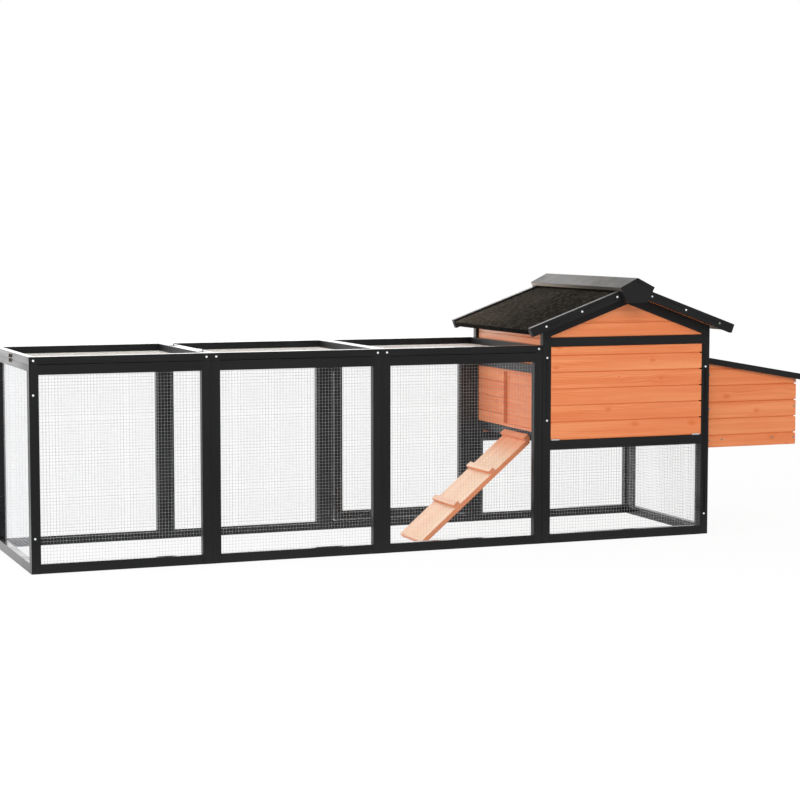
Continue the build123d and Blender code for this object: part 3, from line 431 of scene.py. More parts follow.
def stained(name, place, row_base, row_height, pale, deep, knot_colour, smooth=0.45, rough=0.65,
            tread=None, sunned=None):
    """A stained softwood whose boards lie in rows, with a painted highlight on a tread and a painted sheen
    above a height.
    """
    finish, tree, shader = new_finish(name, Specular_IOR_Level=0.45)
    wood = place_group(tree, grain, {"Place": place(tree), "Row Base": row_base, "Row Height": row_height})
    colour = mix_colour(tree, wood["Streaks"], deep, pale)
    toned = calc(tree, "MULTIPLY", wood["Tone"], tone_share)
    colour = mix_colour(tree, toned, colour, deep)
    fine = calc(tree, "MULTIPLY", remap(tree, wood["Fibres"], 0.45, 0.75), fibre_share)
    colour = mix_colour(tree, fine, colour, deep)
    if tread is not None:
        # Painted highlight on the tread: a paler wood colour.
        metal_or_highlight = mix_colour(tree, wood["Streaks"], *highlight_wood)
        colour = mix_colour(tree, tread_highlight(tree, tread), colour, metal_or_highlight)
    colour = mix_colour(tree, calc(tree, "MULTIPLY", wood["Rings"], ring_share), colour, knot_colour)
    colour = mix_colour(tree, calc(tree, "MULTIPLY", wood["Knots"], knot_share), colour, knot_colour)
    # Gathered stain and a band of painted shade along the grooves.
    colour = mix_colour(tree, calc(tree, "MULTIPLY", wood["Seam"], seam_share), colour, knot_colour)
    sheen = remap(tree, wood["Fibres"], 0.2, 0.8, smooth, rough)
    if sunned is not None:
        # Painted sheen above a height: a paler colour, and a little smoother.
        sheen_share = sheen_boards(tree, sunned, wood["Streaks"])
        colour = mix_colour(tree, sheen_share, colour, sheen_wood)
        sheen = calc(tree, "SUBTRACT", sheen, calc(tree, "MULTIPLY", sheen_share, sheen_polish))
    tree.links.new(colour, shader.inputs["Base Color"])
    tree.links.new(sheen, shader.inputs["Roughness"])
    height = calc(tree, "ADD", wood["Fibres"], calc(tree, "MULTIPLY", wood["Streaks"], 0.5))
    bump = add(tree, "Bump", {"Height": height, "Strength": 0.25, "Distance": 0.0006})
    tree.links.new(bump.outputs[0], shader.inputs["Normal"])
    return finish


board_pitch = 0.0695
board_base = 0.438
nest_pitch = 0.072
nest_base = 0.418
no_rows = 9.0
orange_pale = (0.860, 0.315, 0.128, 1)
orange_deep = (0.750, 0.208, 0.070, 1)
orange_knot = (0.640, 0.125, 0.022, 1)
natural_pale = (0.900, 0.560, 0.380, 1)
natural_deep = (0.840, 0.430, 0.250, 1)
natural_knot = (0.640, 0.230, 0.100, 1)
roof_middle_x = 0.8285
roof_steepness = math.tan(math.radians(20.0))

orange = (orange_pale, orange_deep, orange_knot)
natural = (natural_pale, natural_deep, natural_knot)
grey_ply = ((0.50, 0.44, 0.38, 1), (0.36, 0.31, 0.26, 1), (0.22, 0.17, 0.13, 1))
front_boards = stained("front_boards", lambda tree: along_axis(tree, "xzy"), board_base, board_pitch, *orange)
side_boards = stained("side_boards", lambda tree: along_axis(tree, "yzx"), board_base, board_pitch, *orange,
                      sunned=run_roof)
nest_boards = stained("nest_boards", lambda tree: along_axis(tree, "xzy"), nest_base, nest_pitch, *orange)
nest_end_boards = stained("nest_end_boards", lambda tree: along_axis(tree, "yzx"), nest_base, nest_pitch,
                          *orange)
upright_boards = stained("upright_boards", lambda tree: along_axis(tree, "zxy"), -1.0, no_rows, *orange)
roof_planks = stained("roof_planks", lambda tree: along_axis(tree, "yxz"), -2.0, 0.095, *orange)
ramp_wood = stained("ramp_wood", lambda tree: along_turned(tree, ramp_angle), -1.0, no_rows, *orange,
                    smooth=0.32, rough=0.48, tread=ramp_tread)
ramp_cleat_wood = stained("ramp_cleat_wood", lambda tree: along_axis(tree, "yzx"), -1.0, 0.09, *orange,
                          smooth=0.32, rough=0.48, tread=cleat_tread)
plain_wood = stained("plain_wood", lambda tree: along_axis(tree, "yxz"), -2.0, 0.12, *natural)
roof_ply = stained("roof_ply", lambda tree: along_axis(tree, "yxz"), -2.0, no_rows, *grey_ply)
perch_wood = stained("perch_wood", lambda tree: along_axis(tree, "xyz"), -1.0, no_rows, *natural)
print("stained finishes made")

# %% [markdown]
# ## Black paint
# The frames are painted black over planed softwood. The paint is not quite even: the grain still shows as
# faint lines, the sheen changes a little along a timber, and dust greys the faces that look up, which also
# paints a warm sheen on the tops.
# Wet paint runs off upright faces but levels itself on flat ones, so the tops dry smoother and shine more.
# Near the wet ground the timbers have a second coat, which shines more as well.

# %% Node groups: brushed paint, and dust with a painted sheen
paint, given, out = new_group(
    "brushed_paint", [("Place", "NodeSocketVector", None)], ["Tone", "Lines", "Height"])
cloudy = noise(paint, stretch(paint, given.outputs["Place"], (2.0, 9.0, 9.0)), 1.0, 3.0)
paint.links.new(remap(paint, cloudy, 0.3, 0.7), out.inputs["Tone"])
lines = noise(paint, stretch(paint, given.outputs["Place"], (5.0, 260.0, 260.0)), 1.0, 3.0, 0.6)
paint.links.new(remap(paint, lines, 0.35, 0.7), out.inputs["Lines"])
pores = noise(paint, stretch(paint, given.outputs["Place"], (40.0, 700.0, 700.0)), 1.0, 2.0)
paint.links.new(calc(paint, "ADD", lines, calc(paint, "MULTIPLY", pores, 0.4)), out.inputs["Height"])

dust_and_sheen, given, out = new_group(
    "dust_and_painted_sheen", [("Place", "NodeSocketVector", None), ("Amount", "NodeSocketFloat", 0.3)],
    ["Dust", "Level"])
facing = add(dust_and_sheen, "NewGeometry").outputs["Normal"]
upward = add(dust_and_sheen, "SeparateXYZ", {0: facing}).outputs["Z"]
level = remap(dust_and_sheen, upward, 0.5, 1.0)
dust_and_sheen.links.new(remap(dust_and_sheen, upward, 0.96, 0.995), out.inputs["Level"])
# Faces that look up get dust, and with it a warm painted sheen on the tops.
patches = remap(dust_and_sheen, noise(dust_and_sheen, given.outputs["Place"], 14.0, 4.0, 0.65), 0.3, 0.75)
dust_sheen_mask = calc(dust_and_sheen, "MULTIPLY", level, patches)
dust_and_sheen.links.new(calc(dust_and_sheen, "MULTIPLY", dust_sheen_mask, given.outputs["Amount"]), out.inputs["Dust"])
print("paint nodes", len(paint.nodes), "dust nodes", len(dust_and_sheen.nodes))


# %% Finish: black painted timber
paint_deep = (0.0065, 0.0067, 0.0072, 1)
paint_pale = (0.0105, 0.0107, 0.0112, 1)
paint_line = (0.004, 0.004, 0.0045, 1)
# Warm grey for the dust and for the painted sheen on the tops.
dust_and_sheen_colour = (0.30, 0.26, 0.21, 1)
# A paler brown-grey on the edges that look out and a little down.
pale_edge = (0.34, 0.29, 0.24, 1)
second_coat_top = 0.35
second_coat_sheen = (0.14, 0.20)
level_sheen = (0.18, 0.26)


def paled_edge(tree):
    """How far an edge that looks out and a little down is lightened, more towards the back."""
    facing = add(tree, "SeparateXYZ", {0: add(tree, "NewGeometry").outputs["Normal"]}).outputs
    outward = remap(tree, calc(tree, "ABSOLUTE", facing["X"]), 0.80, 0.90)
    downward = remap(tree, facing["Z"], -0.15, -0.30)
    behind = remap(tree, object_place(tree)["Y"], -0.25, 0.40, 0.15, 1.0)
    return calc(tree, "MULTIPLY", calc(tree, "MULTIPLY", outward, downward), behind)


def painted(name, place, smooth=0.36, rough=0.46, paled=False):
    """Black paint on planed softwood, lightened on the edges that look out and down where asked for."""
    finish, tree, shader = new_finish(name, Specular_IOR_Level=0.3)
    coat = place_group(tree, paint, {"Place": place(tree)})
    dust_sheen = place_group(tree, dust_and_sheen, {"Place": add(tree, "TexCoord").outputs["Object"], "Amount": 0.25})
    colour = mix_colour(tree, coat["Tone"], paint_deep, paint_pale)
    colour = mix_colour(tree, calc(tree, "MULTIPLY", coat["Lines"], 0.3), colour, paint_line)
    # The dust and painted sheen on the faces that look up.
    colour = mix_colour(tree, dust_sheen["Dust"], colour, dust_and_sheen_colour)
    if paled:
        colour = mix_colour(tree, paled_edge(tree), colour, pale_edge)
    tree.links.new(colour, shader.inputs["Base Color"])
    sheen = mix_value(tree, coat["Tone"], smooth, rough)
    twice_coated = remap(tree, object_place(tree)["Z"], 0.05, second_coat_top, 1.0, 0.0)
    sheen = mix_value(tree, twice_coated, sheen, mix_value(tree, coat["Tone"], *second_coat_sheen))
    sheen = mix_value(tree, dust_sheen["Level"], sheen, mix_value(tree, coat["Tone"], *level_sheen))
    tree.links.new(scaled(tree, dust_sheen["Dust"], 0.15, sheen), shader.inputs["Roughness"])
    bump = add(tree, "Bump", {"Height": coat["Height"], "Strength": 0.18, "Distance": 0.0005})
    tree.links.new(bump.outputs[0], shader.inputs["Normal"])
    return finish


long_rail_y = 0.329
end_rail_z = 0.776
base_rail_z = 0.038
back_rail_z = 0.758
black_upright = painted("black_upright", lambda tree: along_axis(tree, "zxy"))
black_level = painted("black_level", lambda tree: along_axis(tree, "xzy"))
black_cross = painted("black_cross", lambda tree: along_axis(tree, "yzx"))
black_ridge = painted("black_ridge", lambda tree: along_axis(tree, "yzx"), 0.41, 0.51, paled=True)
black_slope = painted("black_slope", lambda tree: along_slope(tree, roof_middle_x, roof_steepness))
black_roof_frame = painted("black_roof_frame",
                           lambda tree: along_either(tree, "yxz", "xyz", "Y", long_rail_y))
black_end = painted("black_end", lambda tree: along_either(tree, "zyx", "yzx", "Z", end_rail_z))
black_base = painted("black_base", lambda tree: along_either(tree, "xyz", "zxy", "Z", base_rail_z))
black_back_door = painted("black_back_door", lambda tree: along_either(tree, "zxy", "xzy", "Z", back_rail_z))
print("black finishes made")

# %% [markdown]
# ## Roofing felt
# The roof and the nest lid are covered in bitumen felt, rough with crushed mineral. Close up it is dark grit
# with paler grains, which lie in clumps; from afar it is an uneven black-brown. A painted sheen makes it
# paler towards the eaves and the back, and painted shade darker towards the front and the ridge. Its
# turned-down edges are darker.

# %% Finish: mineral felt
grit_deep = (0.006, 0.0056, 0.005, 1)
grit_pale = (0.022, 0.020, 0.017, 1)
grain_pale = (0.10, 0.090, 0.075, 1)
weathered = (0.050, 0.044, 0.036, 1)
# A darker felt for the painted shade, and a paler felt for the painted sheen.
shaded_felt = (0.004, 0.004, 0.004, 1)
sheen_felt = (0.085, 0.071, 0.054, 1)
clump_deep = (0.002, 0.002, 0.002, 1)
clump_pale = (0.120, 0.104, 0.082, 1)
clump_stretch = (55.0, 140.0, 55.0)
edge_black = (0.006, 0.006, 0.006, 1)
felt, tree, shader = new_finish("mineral_felt", Specular_IOR_Level=0.0)
place = add(tree, "TexCoord").outputs["Object"]
grit = noise(tree, place, 420.0, 2.0, 0.6)
weathering = noise(tree, place, 5.0, 4.0, 0.6)
grains = add(tree, "TexVoronoi", {"Vector": place, "Scale": 520.0})
pale_grain = add(tree, "SeparateColor", {0: grains.outputs["Color"]}).outputs[0]
pale_grain = remap(tree, pale_grain, 0.72, 0.95)
colour = mix_colour(tree, remap(tree, grit, 0.3, 0.7), grit_deep, grit_pale)
colour = mix_colour(tree, calc(tree, "MULTIPLY", pale_grain, 0.6), colour, grain_pale)
colour = mix_colour(tree, calc(tree, "MULTIPLY", remap(tree, weathering, 0.4, 0.75), 0.5), colour, weathered)
xyz = object_place(tree)
eave_side = calc(tree, "ABSOLUTE", calc(tree, "SUBTRACT", xyz["X"], roof_middle_x))
behind = calc(tree, "ADD", xyz["Y"], calc(tree, "MULTIPLY", calc(tree, "SUBTRACT", weathering, 0.5), 0.5))
# Painted sheen towards the eaves and the back, painted shade towards the front and the ridge.
felt_sheen = calc(tree, "MULTIPLY", remap(tree, behind, -0.3, 0.45), remap(tree, eave_side, 0.1, 0.48, 0.3, 1.0))
colour = mix_colour(tree, remap(tree, felt_sheen, 0.0, 1.0, 0.35, 0.0), colour, shaded_felt)
colour = mix_colour(tree, calc(tree, "MULTIPLY", felt_sheen, 0.7), colour, sheen_felt)
clumps = noise(tree, stretch(tree, place, clump_stretch), 1.0, 3.0, 0.7)
colour = mix_colour(tree, remap(tree, clumps, 0.52, 0.36, 0.0, 0.7), colour, clump_deep)
colour = mix_colour(tree, remap(tree, clumps, 0.52, 0.68, 0.0, 0.4), colour, clump_pale)
# Darker on faces that don't look up: the turned-down edges.
upward = add(tree, "SeparateXYZ", {0: add(tree, "NewGeometry").outputs["Normal"]}).outputs["Z"]
colour = mix_colour(tree, remap(tree, upward, 0.2, 0.7, 0.75, 0.0), colour, edge_black)
tree.links.new(colour, shader.inputs["Base Color"])
tree.links.new(remap(tree, grit, 0.2, 0.8, 0.6, 0.85), shader.inputs["Roughness"])
height = calc(tree, "ADD", calc(tree, "MULTIPLY", grit, 0.6), calc(tree, "MULTIPLY", pale_grain, 0.4))
bump = add(tree, "Bump", {"Height": height, "Strength": 0.5, "Distance": 0.0012})
tree.links.new(bump.outputs[0], shader.inputs["Normal"])
print("felt nodes", len(tree.nodes))

# %% [markdown]
# ## Metals
# The net is galvanised wire, and the screws and hinges are zinc plated. The nets of the roof are a paler,
# warmer copy of the wire as a painted sheen, and the net of the end a paler copy as a painted highlight.
# Bare metal is never even: its sheen is mottled by the plating and by handling. The screws of the nest box
# sit in stained boards, and the stain has run over their heads.


# %% Finishes: galvanised wire and zinc
stained_zinc = (0.27, 0.30, 0.25, 1)


def metal(name, bright, dull, smooth, rough, mottle, metal_or_highlight=1.0, stained_beyond=None):
    """A plated metal with a mottled sheen, stained by the wood where X is past a limit."""
    finish, tree, shader = new_finish(name, Metallic=metal_or_highlight)
    place = add(tree, "TexCoord").outputs["Object"]
    clouds = remap(tree, noise(tree, place, mottle, 4.0, 0.6), 0.3, 0.7)
    colour = mix_colour(tree, clouds, bright, dull)
    if stained_beyond is not None:
        past = calc(tree, "GREATER_THAN", object_place(tree)["X"], stained_beyond)
        colour = mix_colour(tree, past, colour, stained_zinc)
    tree.links.new(colour, shader.inputs["Base Color"])
    tree.links.new(mix_value(tree, clouds, smooth, rough), shader.inputs["Roughness"])
    pits = noise(tree, place, mottle * 6, 2.0)
    bump = add(tree, "Bump", {"Height": pits, "Strength": 0.08, "Distance": 0.0003})
    tree.links.new(bump.outputs[0], shader.inputs["Normal"])
    return finish


nest_wall = 1.2285
wire_zinc = metal("wire_zinc", (0.60, 0.61, 0.62, 1), (0.44, 0.45, 0.46, 1), 0.34, 0.52, 60.0)
# Lighter copies of the wire: a painted sheen for the roof nets and a painted highlight for the end net.
sheen_roof_zinc = metal("sheen_roof_zinc", (0.84, 0.80, 0.75, 1), (0.68, 0.65, 0.61, 1), 0.40, 0.58, 60.0, metal_or_highlight=0.5)
lit_end_zinc = metal("lit_end_zinc", (0.80, 0.81, 0.84, 1), (0.66, 0.67, 0.70, 1), 0.34, 0.52, 60.0, metal_or_highlight=0.8)
screw_zinc = metal("screw_zinc", (0.95, 0.97, 0.99, 1), (0.86, 0.89, 0.92, 1), 0.28, 0.42, 400.0, metal_or_highlight=0.15,
                   stained_beyond=nest_wall)
zinc = metal("zinc_plate", (0.82, 0.84, 0.86, 1), (0.62, 0.64, 0.67, 1), 0.26, 0.42, 180.0)
print("metal finishes made")

# %% [markdown]
# The hatch's hook and its stud are browned brass. The middle of each round boss is painted pale: a painted
# highlight where the dome catches the light.

# %% Finish: browned brass with a painted highlight on each boss
boss_heights = (0.817, 0.799)
glint_radius = 0.0030
brown_deep = (0.010, 0.005, 0.003, 1)
brown_pale = (0.10, 0.060, 0.012, 1)
glint_brass = (0.60, 0.56, 0.50, 1)
latch, tree, shader = new_finish("browned_brass", Metallic=1.0)
xyz = object_place(tree)
flat = add(tree, "CombineXYZ", {1: xyz["Y"], 2: xyz["Z"]}).outputs[0]
nearest = 1.0
for height in boss_heights:
    far = add(tree, "VectorMath", {0: flat, 1: (0, 0, height)}, operation="DISTANCE").outputs["Value"]
    nearest = calc(tree, "MINIMUM", far, nearest)
# Painted highlight in the middle of each boss.
paled = remap(tree, nearest, glint_radius * 0.7, glint_radius, 1.0, 0.0)
patches = remap(tree, noise(tree, add(tree, "TexCoord").outputs["Object"], 240.0, 3.0), 0.4, 0.7)
brown = mix_colour(tree, patches, brown_deep, brown_pale)
tree.links.new(mix_colour(tree, paled, brown, glint_brass), shader.inputs["Base Color"])
tree.links.new(mix_value(tree, patches, 0.5, 0.34), shader.inputs["Roughness"])
print("latch nodes", len(tree.nodes))

# %% [markdown]
# ## Give every piece its finish
# The CAD nodes keep their shape. Each one gets the finish whose grain runs along its own length.

# %% Assign the finishes
finish_of = {
    front_boards: ["front_door_boards", "gable_boards", "back_wall_boards"],
    side_boards: ["left_wall_boards", "right_wall_boards", "pop_door_panel", "pop_door_runners"],
    nest_boards: ["nest_side_walls"],
    nest_end_boards: ["nest_end_wall"],
    upright_boards: ["front_door_ledges"],
    roof_planks: ["roof_battens"],
    roof_ply: ["roof_boards"],
    ramp_wood: ["ramp_board"],
    ramp_cleat_wood: ["ramp_cleats"],
    plain_wood: ["floor_bearers", "house_floor", "nest_floor", "nest_lid_board"],
    perch_wood: ["perches", "nest_divider"],
    black_upright: ["run_stiles", "house_posts", "nest_jambs", "back_door_button"],
    black_level: ["run_bottom_rails", "run_top_rails", "house_mid_rails", "house_head_rails",
                  "ridge_end_plates", "nest_lid_edging"],
    black_cross: ["house_side_rails"],
    black_ridge: ["ridge_boards"],
    black_slope: ["gable_rafters", "barge_boards"],
    black_roof_frame: ["roof_frames", "hatch_frame"],
    black_end: ["end_frame"],
    black_base: ["house_base_frame"],
    black_back_door: ["back_door_frame"],
    felt: ["roof_felts", "nest_lid_felt"],
    wire_zinc: ["run_mesh", "end_mesh", "hatch_mesh", "roof_frame_mesh", "house_base_mesh", "back_door_mesh"],
    screw_zinc: ["screws", "hatch_screws"],
    zinc: ["hinge_base_leaves", "front_door_leaves", "nest_lid_leaves", "ramp_leaves",
           "back_door_leaves", "hatch_leaves", "perch_brackets", "pop_door_rod"],
    latch: ["hatch_hook", "hook_stud"],
}
finished = set()
for finish, names in finish_of.items():
    for name in names:
        for place in nodes[name].material_slots:
            place.material = finish
        finished.add(name)
print("without a finish:", sorted(set(nodes) - finished))

# %% [markdown]
# ## Eased edges
# A planed timber never has a knife edge: its corners are eased by about a millimetre, and that line catches
# the light. The CAD meshes are loose triangles, so a Weld modifier joins their corners before a Bevel
# modifier rounds the edges. The sides of the nest box keep sharp, sawn edges.

# %% Weld and bevel the wooden pieces
weld_distance = 0.00001
timber_ease = 0.0013
board_ease = 0.0006
ease_angle = math.radians(35)
eased = {
    timber_ease: [black_upright, black_level, black_cross, black_ridge, black_slope, black_roof_frame,
                  black_end, black_base, black_back_door, ramp_wood, ramp_cleat_wood],
    board_ease: [front_boards, side_boards, nest_end_boards, upright_boards, plain_wood],
}
eased_count = 0
for width, finishes in eased.items():
    for finish in finishes:
        for name in finish_of[finish]:
            weld = nodes[name].modifiers.new("weld", "WELD")
            weld.merge_threshold = weld_distance
            ease = nodes[name].modifiers.new("ease", "BEVEL")
            ease.width = width
            ease.segments = 2
            ease.limit_method = "ANGLE"
            ease.angle_limit = ease_angle
            ease.harden_normals = True
            eased_count += 1
print("eased nodes", eased_count)

# %% [markdown]
# ## Welded net
# The run is closed with welded net: thin galvanised wires that cross every half inch and are welded where
# they touch. One wire is added at its size, repeated by an Array modifier to make a layer, and a second layer
# lies across it. The CAD net has wide gaps and flat bars to keep it light, so this net replaces it.

# %% Helper that lays one layer of wires
cell = 0.0127
wire_radius = 0.00037
turns = {0: (0, math.pi / 2, 0), 1: (math.pi / 2, 0, 0), 2: (0, 0, 0)}


def wire_layer(low, high, along, across, middle):
    """Straight wires side by side between two corners."""
    count = round((high[across] - low[across]) / cell)
    step = (high[across] - low[across] - 2 * wire_radius) / count
    start = [(a + b) / 2 for a, b in zip(low, high)]
    start[across] = low[across] + wire_radius
    start[3 - along - across] = middle
    bpy.ops.object.select_all(action="DESELECT")
    bpy.ops.mesh.primitive_cylinder_add(vertices=6, radius=wire_radius, depth=high[along] - low[along],
                                        location=start, rotation=turns[along])
    bpy.ops.object.transform_apply(location=True, rotation=True, scale=True)
    layer = bpy.context.object
    rows = layer.modifiers.new("rows", "ARRAY")
    rows.use_relative_offset = False
    rows.use_constant_offset = True
    rows.constant_offset_displace = [step if axis == across else 0 for axis in range(3)]
    rows.count = count + 1
    bpy.ops.object.modifier_apply(modifier="rows")
    return layer


def join(name, pieces):
    """Joins pieces into one object with a name."""
    bpy.ops.object.select_all(action="DESELECT")
    for piece in pieces:
        piece.select_set(True)
    bpy.context.view_layer.objects.active = pieces[0]
    if len(pieces) > 1:
        bpy.ops.object.join()
    made = bpy.context.object
    made.name = name
    made.data.name = name
    return made


def net(name, boxes, finish):
    """A net of two layers of wires for each flat box, its wires rounded in shading."""
    layers = []
    for low, high in boxes:
        sides = [b - a for a, b in zip(low, high)]
        thin = sides.index(min(sides))
        first, second = [axis for axis in range(3) if axis != thin]
        middle = (low[thin] + high[thin]) / 2
        layers.append(wire_layer(low, high, first, second, middle - wire_radius * 0.9))
        layers.append(wire_layer(low, high, second, first, middle + wire_radius * 0.9))
    made = join(name, layers)
    bpy.ops.object.shade_smooth_by_angle(angle=math.radians(70))
    made.data.materials.clear()
    made.data.materials.append(finish)
    return made


print("wire every", cell * 1000, "mm")

# %% Lay the nets of the run, the house base, the hatch and the back door
run_left = -1.7085
bay = 0.714
net_inset = 0.0293
roof_net_inset = 0.0193
front_net = (-0.3380, -0.3364)
back_net = (0.3364, 0.3380)
low_edge = 0.030
side_net_z = (low_edge, 0.770)
roof_net_y = (-0.337, 0.337)
roof_net_z = (0.8008, 0.8024)
base_net_x = (0.4635, 1.1935)


def bay_span(i, inset):
    """Left and right end of the net in one bay."""
    return (run_left + bay * i + inset, run_left + bay * (i + 1) - inset)


def corners(x, y, z):
    """Two opposite corners from three spans."""
    return (x[0], y[0], z[0]), (x[1], y[1], z[1])


front_base_z = (low_edge, 0.400)
back_base_z = (low_edge, 0.371)
side_base = ((1.1929, 1.1945), (-0.309, 0.309), (low_edge, 0.426))
end_box = corners((-1.6805, -1.6789), (-0.334, 0.334), (low_edge, 0.784))
door_box = corners((-0.2069, 0.3639), back_net, (0.072, 0.766))
run_boxes = [corners(bay_span(i, net_inset), front_net, side_net_z) for i in range(3)]
run_boxes += [corners(bay_span(i, net_inset), back_net, side_net_z) for i in range(2)]
roof_boxes = [corners(bay_span(i, roof_net_inset), roof_net_y, roof_net_z) for i in range(3)]
base_boxes = [corners(base_net_x, front_net, front_base_z), corners(base_net_x, back_net, back_base_z),
              corners(*side_base)]
net_plan = [
    ("run_net", "run_mesh", "frame", wire_zinc, run_boxes),
    ("end_net", "end_mesh", "frame", lit_end_zinc, [end_box]),
    ("roof_net", "roof_frame_mesh", "frame", sheen_roof_zinc, roof_boxes[1:]),
    ("house_base_net", "house_base_mesh", "frame", wire_zinc, base_boxes),
    ("hatch_net", "hatch_mesh", "hatch", sheen_roof_zinc, roof_boxes[:1]),
    ("back_door_net", "back_door_mesh", "back_door", wire_zinc, [door_box]),
]
for name, node, body, finish, boxes in net_plan:
    made = net(name, boxes, finish)
    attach(made, body)
    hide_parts(node)
    print(name, len(made.data.polygons), "faces")

# %% [markdown]
# ## Screw heads
# Zinc pan-head screws hold the frames together. The head starts as a short cylinder; its upper rim is rounded
# by a bevel and a cross is cut into it for the driver. One screw is modelled, then copied to the place of
# every CAD screw. Six more hold the nest box to its jambs, and these are made only here.


# %% Model one screw
def pick_edges(piece, test):
    """Selects the edges of a piece whose two ends together pass a test, and leaves it in edit mode."""
    bpy.ops.object.mode_set(mode="EDIT")
    bpy.ops.mesh.select_mode(type="EDGE")
    bpy.ops.mesh.select_all(action="DESELECT")
    bpy.ops.object.mode_set(mode="OBJECT")
    for edge in piece.data.edges:
        edge.select = test(*[piece.data.vertices[i].co for i in edge.vertices])
    bpy.ops.object.mode_set(mode="EDIT")


def cut_slot(piece, bar):
    """Cuts a bar out of a piece, and removes the bar."""
    bpy.ops.object.select_all(action="DESELECT")
    piece.select_set(True)
    bpy.context.view_layer.objects.active = piece
    cut = piece.modifiers.new("recess", "BOOLEAN")
    cut.object = bar
    cut.operation = "DIFFERENCE"
    bpy.ops.object.modifier_apply(modifier="recess")
    bpy.data.objects.remove(bar)


head_radius = 0.0043
head_height = 0.0026
recess_length = 0.0042
recess_width = 0.0011
recess_depth = 0.0013
bpy.ops.object.select_all(action="DESELECT")
bpy.ops.mesh.primitive_cylinder_add(vertices=24, radius=head_radius, depth=head_height,
                                    location=(0, 0, head_height / 2))
bpy.ops.object.transform_apply(location=True, rotation=True, scale=True)
screw = bpy.context.object
pick_edges(screw, lambda a, b: min(a.z, b.z) > head_height * 0.9)
bpy.ops.mesh.bevel(offset=head_height * 0.6, segments=4, affect="EDGES")
bpy.ops.object.mode_set(mode="OBJECT")
bars = []
for turn in (0, math.pi / 2):
    bpy.ops.object.select_all(action="DESELECT")
    bpy.ops.mesh.primitive_cube_add(size=1, location=(0, 0, head_height), rotation=(0, 0, turn),
                                    scale=(recess_length, recess_width, recess_depth * 2))
    bpy.ops.object.transform_apply(location=True, rotation=True, scale=True)
    bars.append(bpy.context.object)
for bar in bars:
    cut_slot(screw, bar)
print("screw faces", len(screw.data.polygons))


# %% Copy the screw to every CAD screw
cad_head_height = 0.0026
screw_reach = 0.012


def screw_spots(node):
    """Reads the middle of every CAD screw's head, and which way its head looks."""
    spots = []
    for corner in nodes[node].data.vertices:
        side = 1 if corner.co.y > 0 else -1
        for spot in spots:
            away = math.hypot(corner.co.x - spot["x"], corner.co.z - spot["z"])
            if spot["side"] == side and away < screw_reach:
                spot["points"].append(corner.co.copy())
                break
        else:
            spot = {"side": side, "x": corner.co.x, "z": corner.co.z, "points": [corner.co.copy()]}
            spots.append(spot)
    places = []
    for spot in spots:
        points = spot["points"]
        x, z = [(min(p[i] for p in points) + max(p[i] for p in points)) / 2 for i in (0, 2)]
        face = max(abs(p.y) for p in points) - cad_head_height
        places.append((x, spot["side"] * face, z, spot["side"]))
    return places


def copied(piece, matrix):
    """A copy of a piece with its own mesh, moved in the mesh."""
    made = piece.copy()
    made.data = piece.data.copy()
    made.data.transform(matrix)
    bpy.context.scene.collection.objects.link(made)
    return made


nest_face = 0.301
jamb_screw_x = 1.2600
jamb_screw_heights = (0.397, 0.533, 0.682)
jamb_spots = [(jamb_screw_x, side * nest_face, z, side) for side in (-1, 1) for z in jamb_screw_heights]
head_plan = [
    ("frame_screw_heads", "screws", "frame", jamb_spots),
    ("hatch_screw_heads", "hatch_screws", "hatch", []),
]
chance = random.Random(7)
for name, node, body, more in head_plan:
    heads = []
    for x, y, z, side in screw_spots(node) + more:
        upright = Matrix.Rotation(-side * math.pi / 2, 4, "X")
        driven = Matrix.Rotation(chance.uniform(0, math.pi), 4, "Z")
        heads.append(copied(screw, Matrix.Translation((x, y, z)) @ upright @ driven))
    made = join(name, heads)
    bpy.ops.object.shade_smooth_by_angle(angle=math.radians(40))
    made.data.materials.clear()
    made.data.materials.append(screw_zinc)
    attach(made, body)
    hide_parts(node)
    print(name, len(heads), "heads")
bpy.data.objects.remove(screw)

# %% [markdown]
# ## Hinge screws
# Each leaf of a butt hinge is held by three countersunk screws, sunk level with the leaf and only a little
# domed. Most leaves lie hidden between two timbers. Those of the nest lid and of the hatch lie in the open,
# so they get theirs. The screw is a low cylinder with a rounded rim and one slot, copied along each leaf.

# %% Model one hinge screw
sunk_radius = 0.0027
sunk_height = 0.0006
slot_width = 0.0007
slot_depth = 0.0004
bpy.ops.object.select_all(action="DESELECT")
bpy.ops.mesh.primitive_cylinder_add(vertices=20, radius=sunk_radius, depth=sunk_height * 2)
hinge_screw = bpy.context.object
pick_edges(hinge_screw, lambda a, b: min(a.z, b.z) > sunk_height * 0.9)
bpy.ops.mesh.bevel(offset=sunk_height * 0.8, segments=3, affect="EDGES")
bpy.ops.object.mode_set(mode="OBJECT")
bpy.ops.object.select_all(action="DESELECT")
bpy.ops.mesh.primitive_cube_add(size=1, location=(0, 0, sunk_height),
                                scale=(sunk_radius * 3, slot_width, slot_depth * 2))
bpy.ops.object.transform_apply(location=True, rotation=True, scale=True)
cut_slot(hinge_screw, bpy.context.object)
print("hinge screw faces", len(hinge_screw.data.polygons))

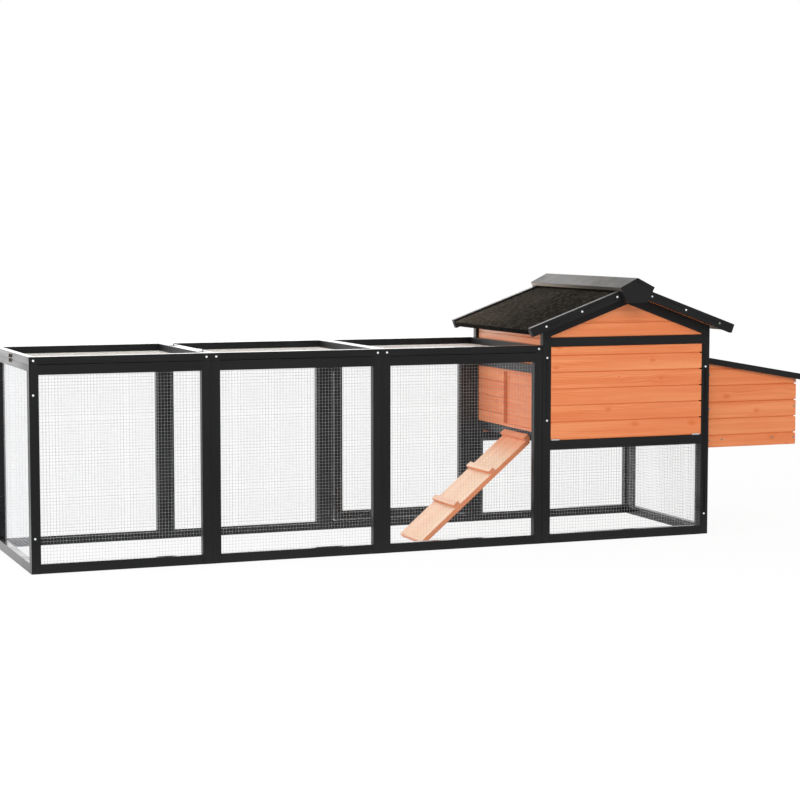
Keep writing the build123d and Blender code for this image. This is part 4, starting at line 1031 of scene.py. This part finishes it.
# %% Copy it to the open leaves
leaf_reach = 0.0105
leaf_face = -0.0020
row_step = 0.020
lid_slope = math.radians(9.9)
lid_out = (math.cos(lid_slope), 0, -math.sin(lid_slope))
lid_up = (math.sin(lid_slope), 0, math.cos(lid_slope))
lid_axis = (1.226, 0.764942)
hatch_axis = (-0.9945, 0.8345)
lid_hinges = (-0.2, 0.2)
hatch_hinges = (-0.22, 0.22)
leaf_plan = [
    ("lid_hinge_screws", "nest_lid", lid_axis, lid_hinges, lid_out, lid_up),
    ("lid_post_screws", "frame", lid_axis, lid_hinges, (0, 0, 1), (1, 0, 0)),
    ("hatch_hinge_screws", "hatch", hatch_axis, hatch_hinges, (-1, 0, 0), (0, 0, 1)),
    ("hatch_frame_screws", "frame", hatch_axis, hatch_hinges, (1, 0, 0), (0, 0, 1)),
]
for name, body, (x, z), hinges, reach, normal in leaf_plan:
    sunk = []
    for y in hinges:
        for step in (-row_step, 0, row_step):
            place = Vector((x, y + step, z)) + Vector(reach) * leaf_reach + Vector(normal) * leaf_face
            turned = Vector(normal).to_track_quat("Z", "Y").to_matrix().to_4x4()
            driven = Matrix.Rotation(chance.uniform(0, math.pi), 4, "Z")
            sunk.append(copied(hinge_screw, Matrix.Translation(place) @ turned @ driven))
    made = join(name, sunk)
    bpy.ops.object.shade_smooth_by_angle(angle=math.radians(40))
    made.data.materials.clear()
    made.data.materials.append(screw_zinc)
    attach(made, body)
    print(name, len(sunk), "screws")
bpy.data.objects.remove(hinge_screw)

# %% [markdown]
# ## Latch plates
# The hook and its stud each sit on a small plate of dark browned sheet, one on the hatch and one on the end
# frame. A plate starts as a cube of the sheet's size, and its corners and rim are rounded by bevels.

# %% Press the two plates
plate_face = run_left
plate_thick = 0.0009
plate_long = 0.038
plate_high = 0.0150
plate_corner = 0.0035
plate_rim = 0.0003
plate_drop = 0.001
sheet_deep = (0.012, 0.007, 0.004, 1)
sheet_pale = (0.10, 0.055, 0.016, 1)
browned, tree, shader = new_finish("browned_sheet", Metallic=0.85)
place = add(tree, "TexCoord").outputs["Object"]
rubbed = remap(tree, noise(tree, place, 170.0, 3.0), 0.45, 0.75)
tree.links.new(mix_colour(tree, rubbed, sheet_deep, sheet_pale), shader.inputs["Base Color"])
tree.links.new(mix_value(tree, rubbed, 0.62, 0.42), shader.inputs["Roughness"])
plate_plan = [("hook_plate", "hatch", boss_heights[0]), ("stud_plate", "frame", boss_heights[1])]
for name, body, height in plate_plan:
    bpy.ops.object.select_all(action="DESELECT")
    middle = (plate_face - plate_thick / 2, 0, height - plate_drop)
    bpy.ops.mesh.primitive_cube_add(size=1, location=middle, scale=(plate_thick, plate_long, plate_high))
    bpy.ops.object.transform_apply(location=True, rotation=True, scale=True)
    plate = bpy.context.object
    plate.name = name
    plate.data.name = name
    pick_edges(plate, lambda a, b: abs(a.x - b.x) > plate_thick / 2)
    bpy.ops.mesh.bevel(offset=plate_corner, segments=4, affect="EDGES")
    bpy.ops.object.mode_set(mode="OBJECT")
    outer = plate_face - plate_thick * 0.9
    pick_edges(plate, lambda a, b: max(a.x, b.x) < outer)
    bpy.ops.mesh.bevel(offset=plate_rim, segments=2, affect="EDGES")
    bpy.ops.object.mode_set(mode="OBJECT")
    bpy.ops.object.shade_smooth_by_angle(angle=math.radians(40))
    plate.data.materials.clear()
    plate.data.materials.append(browned)
    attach(plate, body)
    print(name, len(plate.data.polygons), "faces")
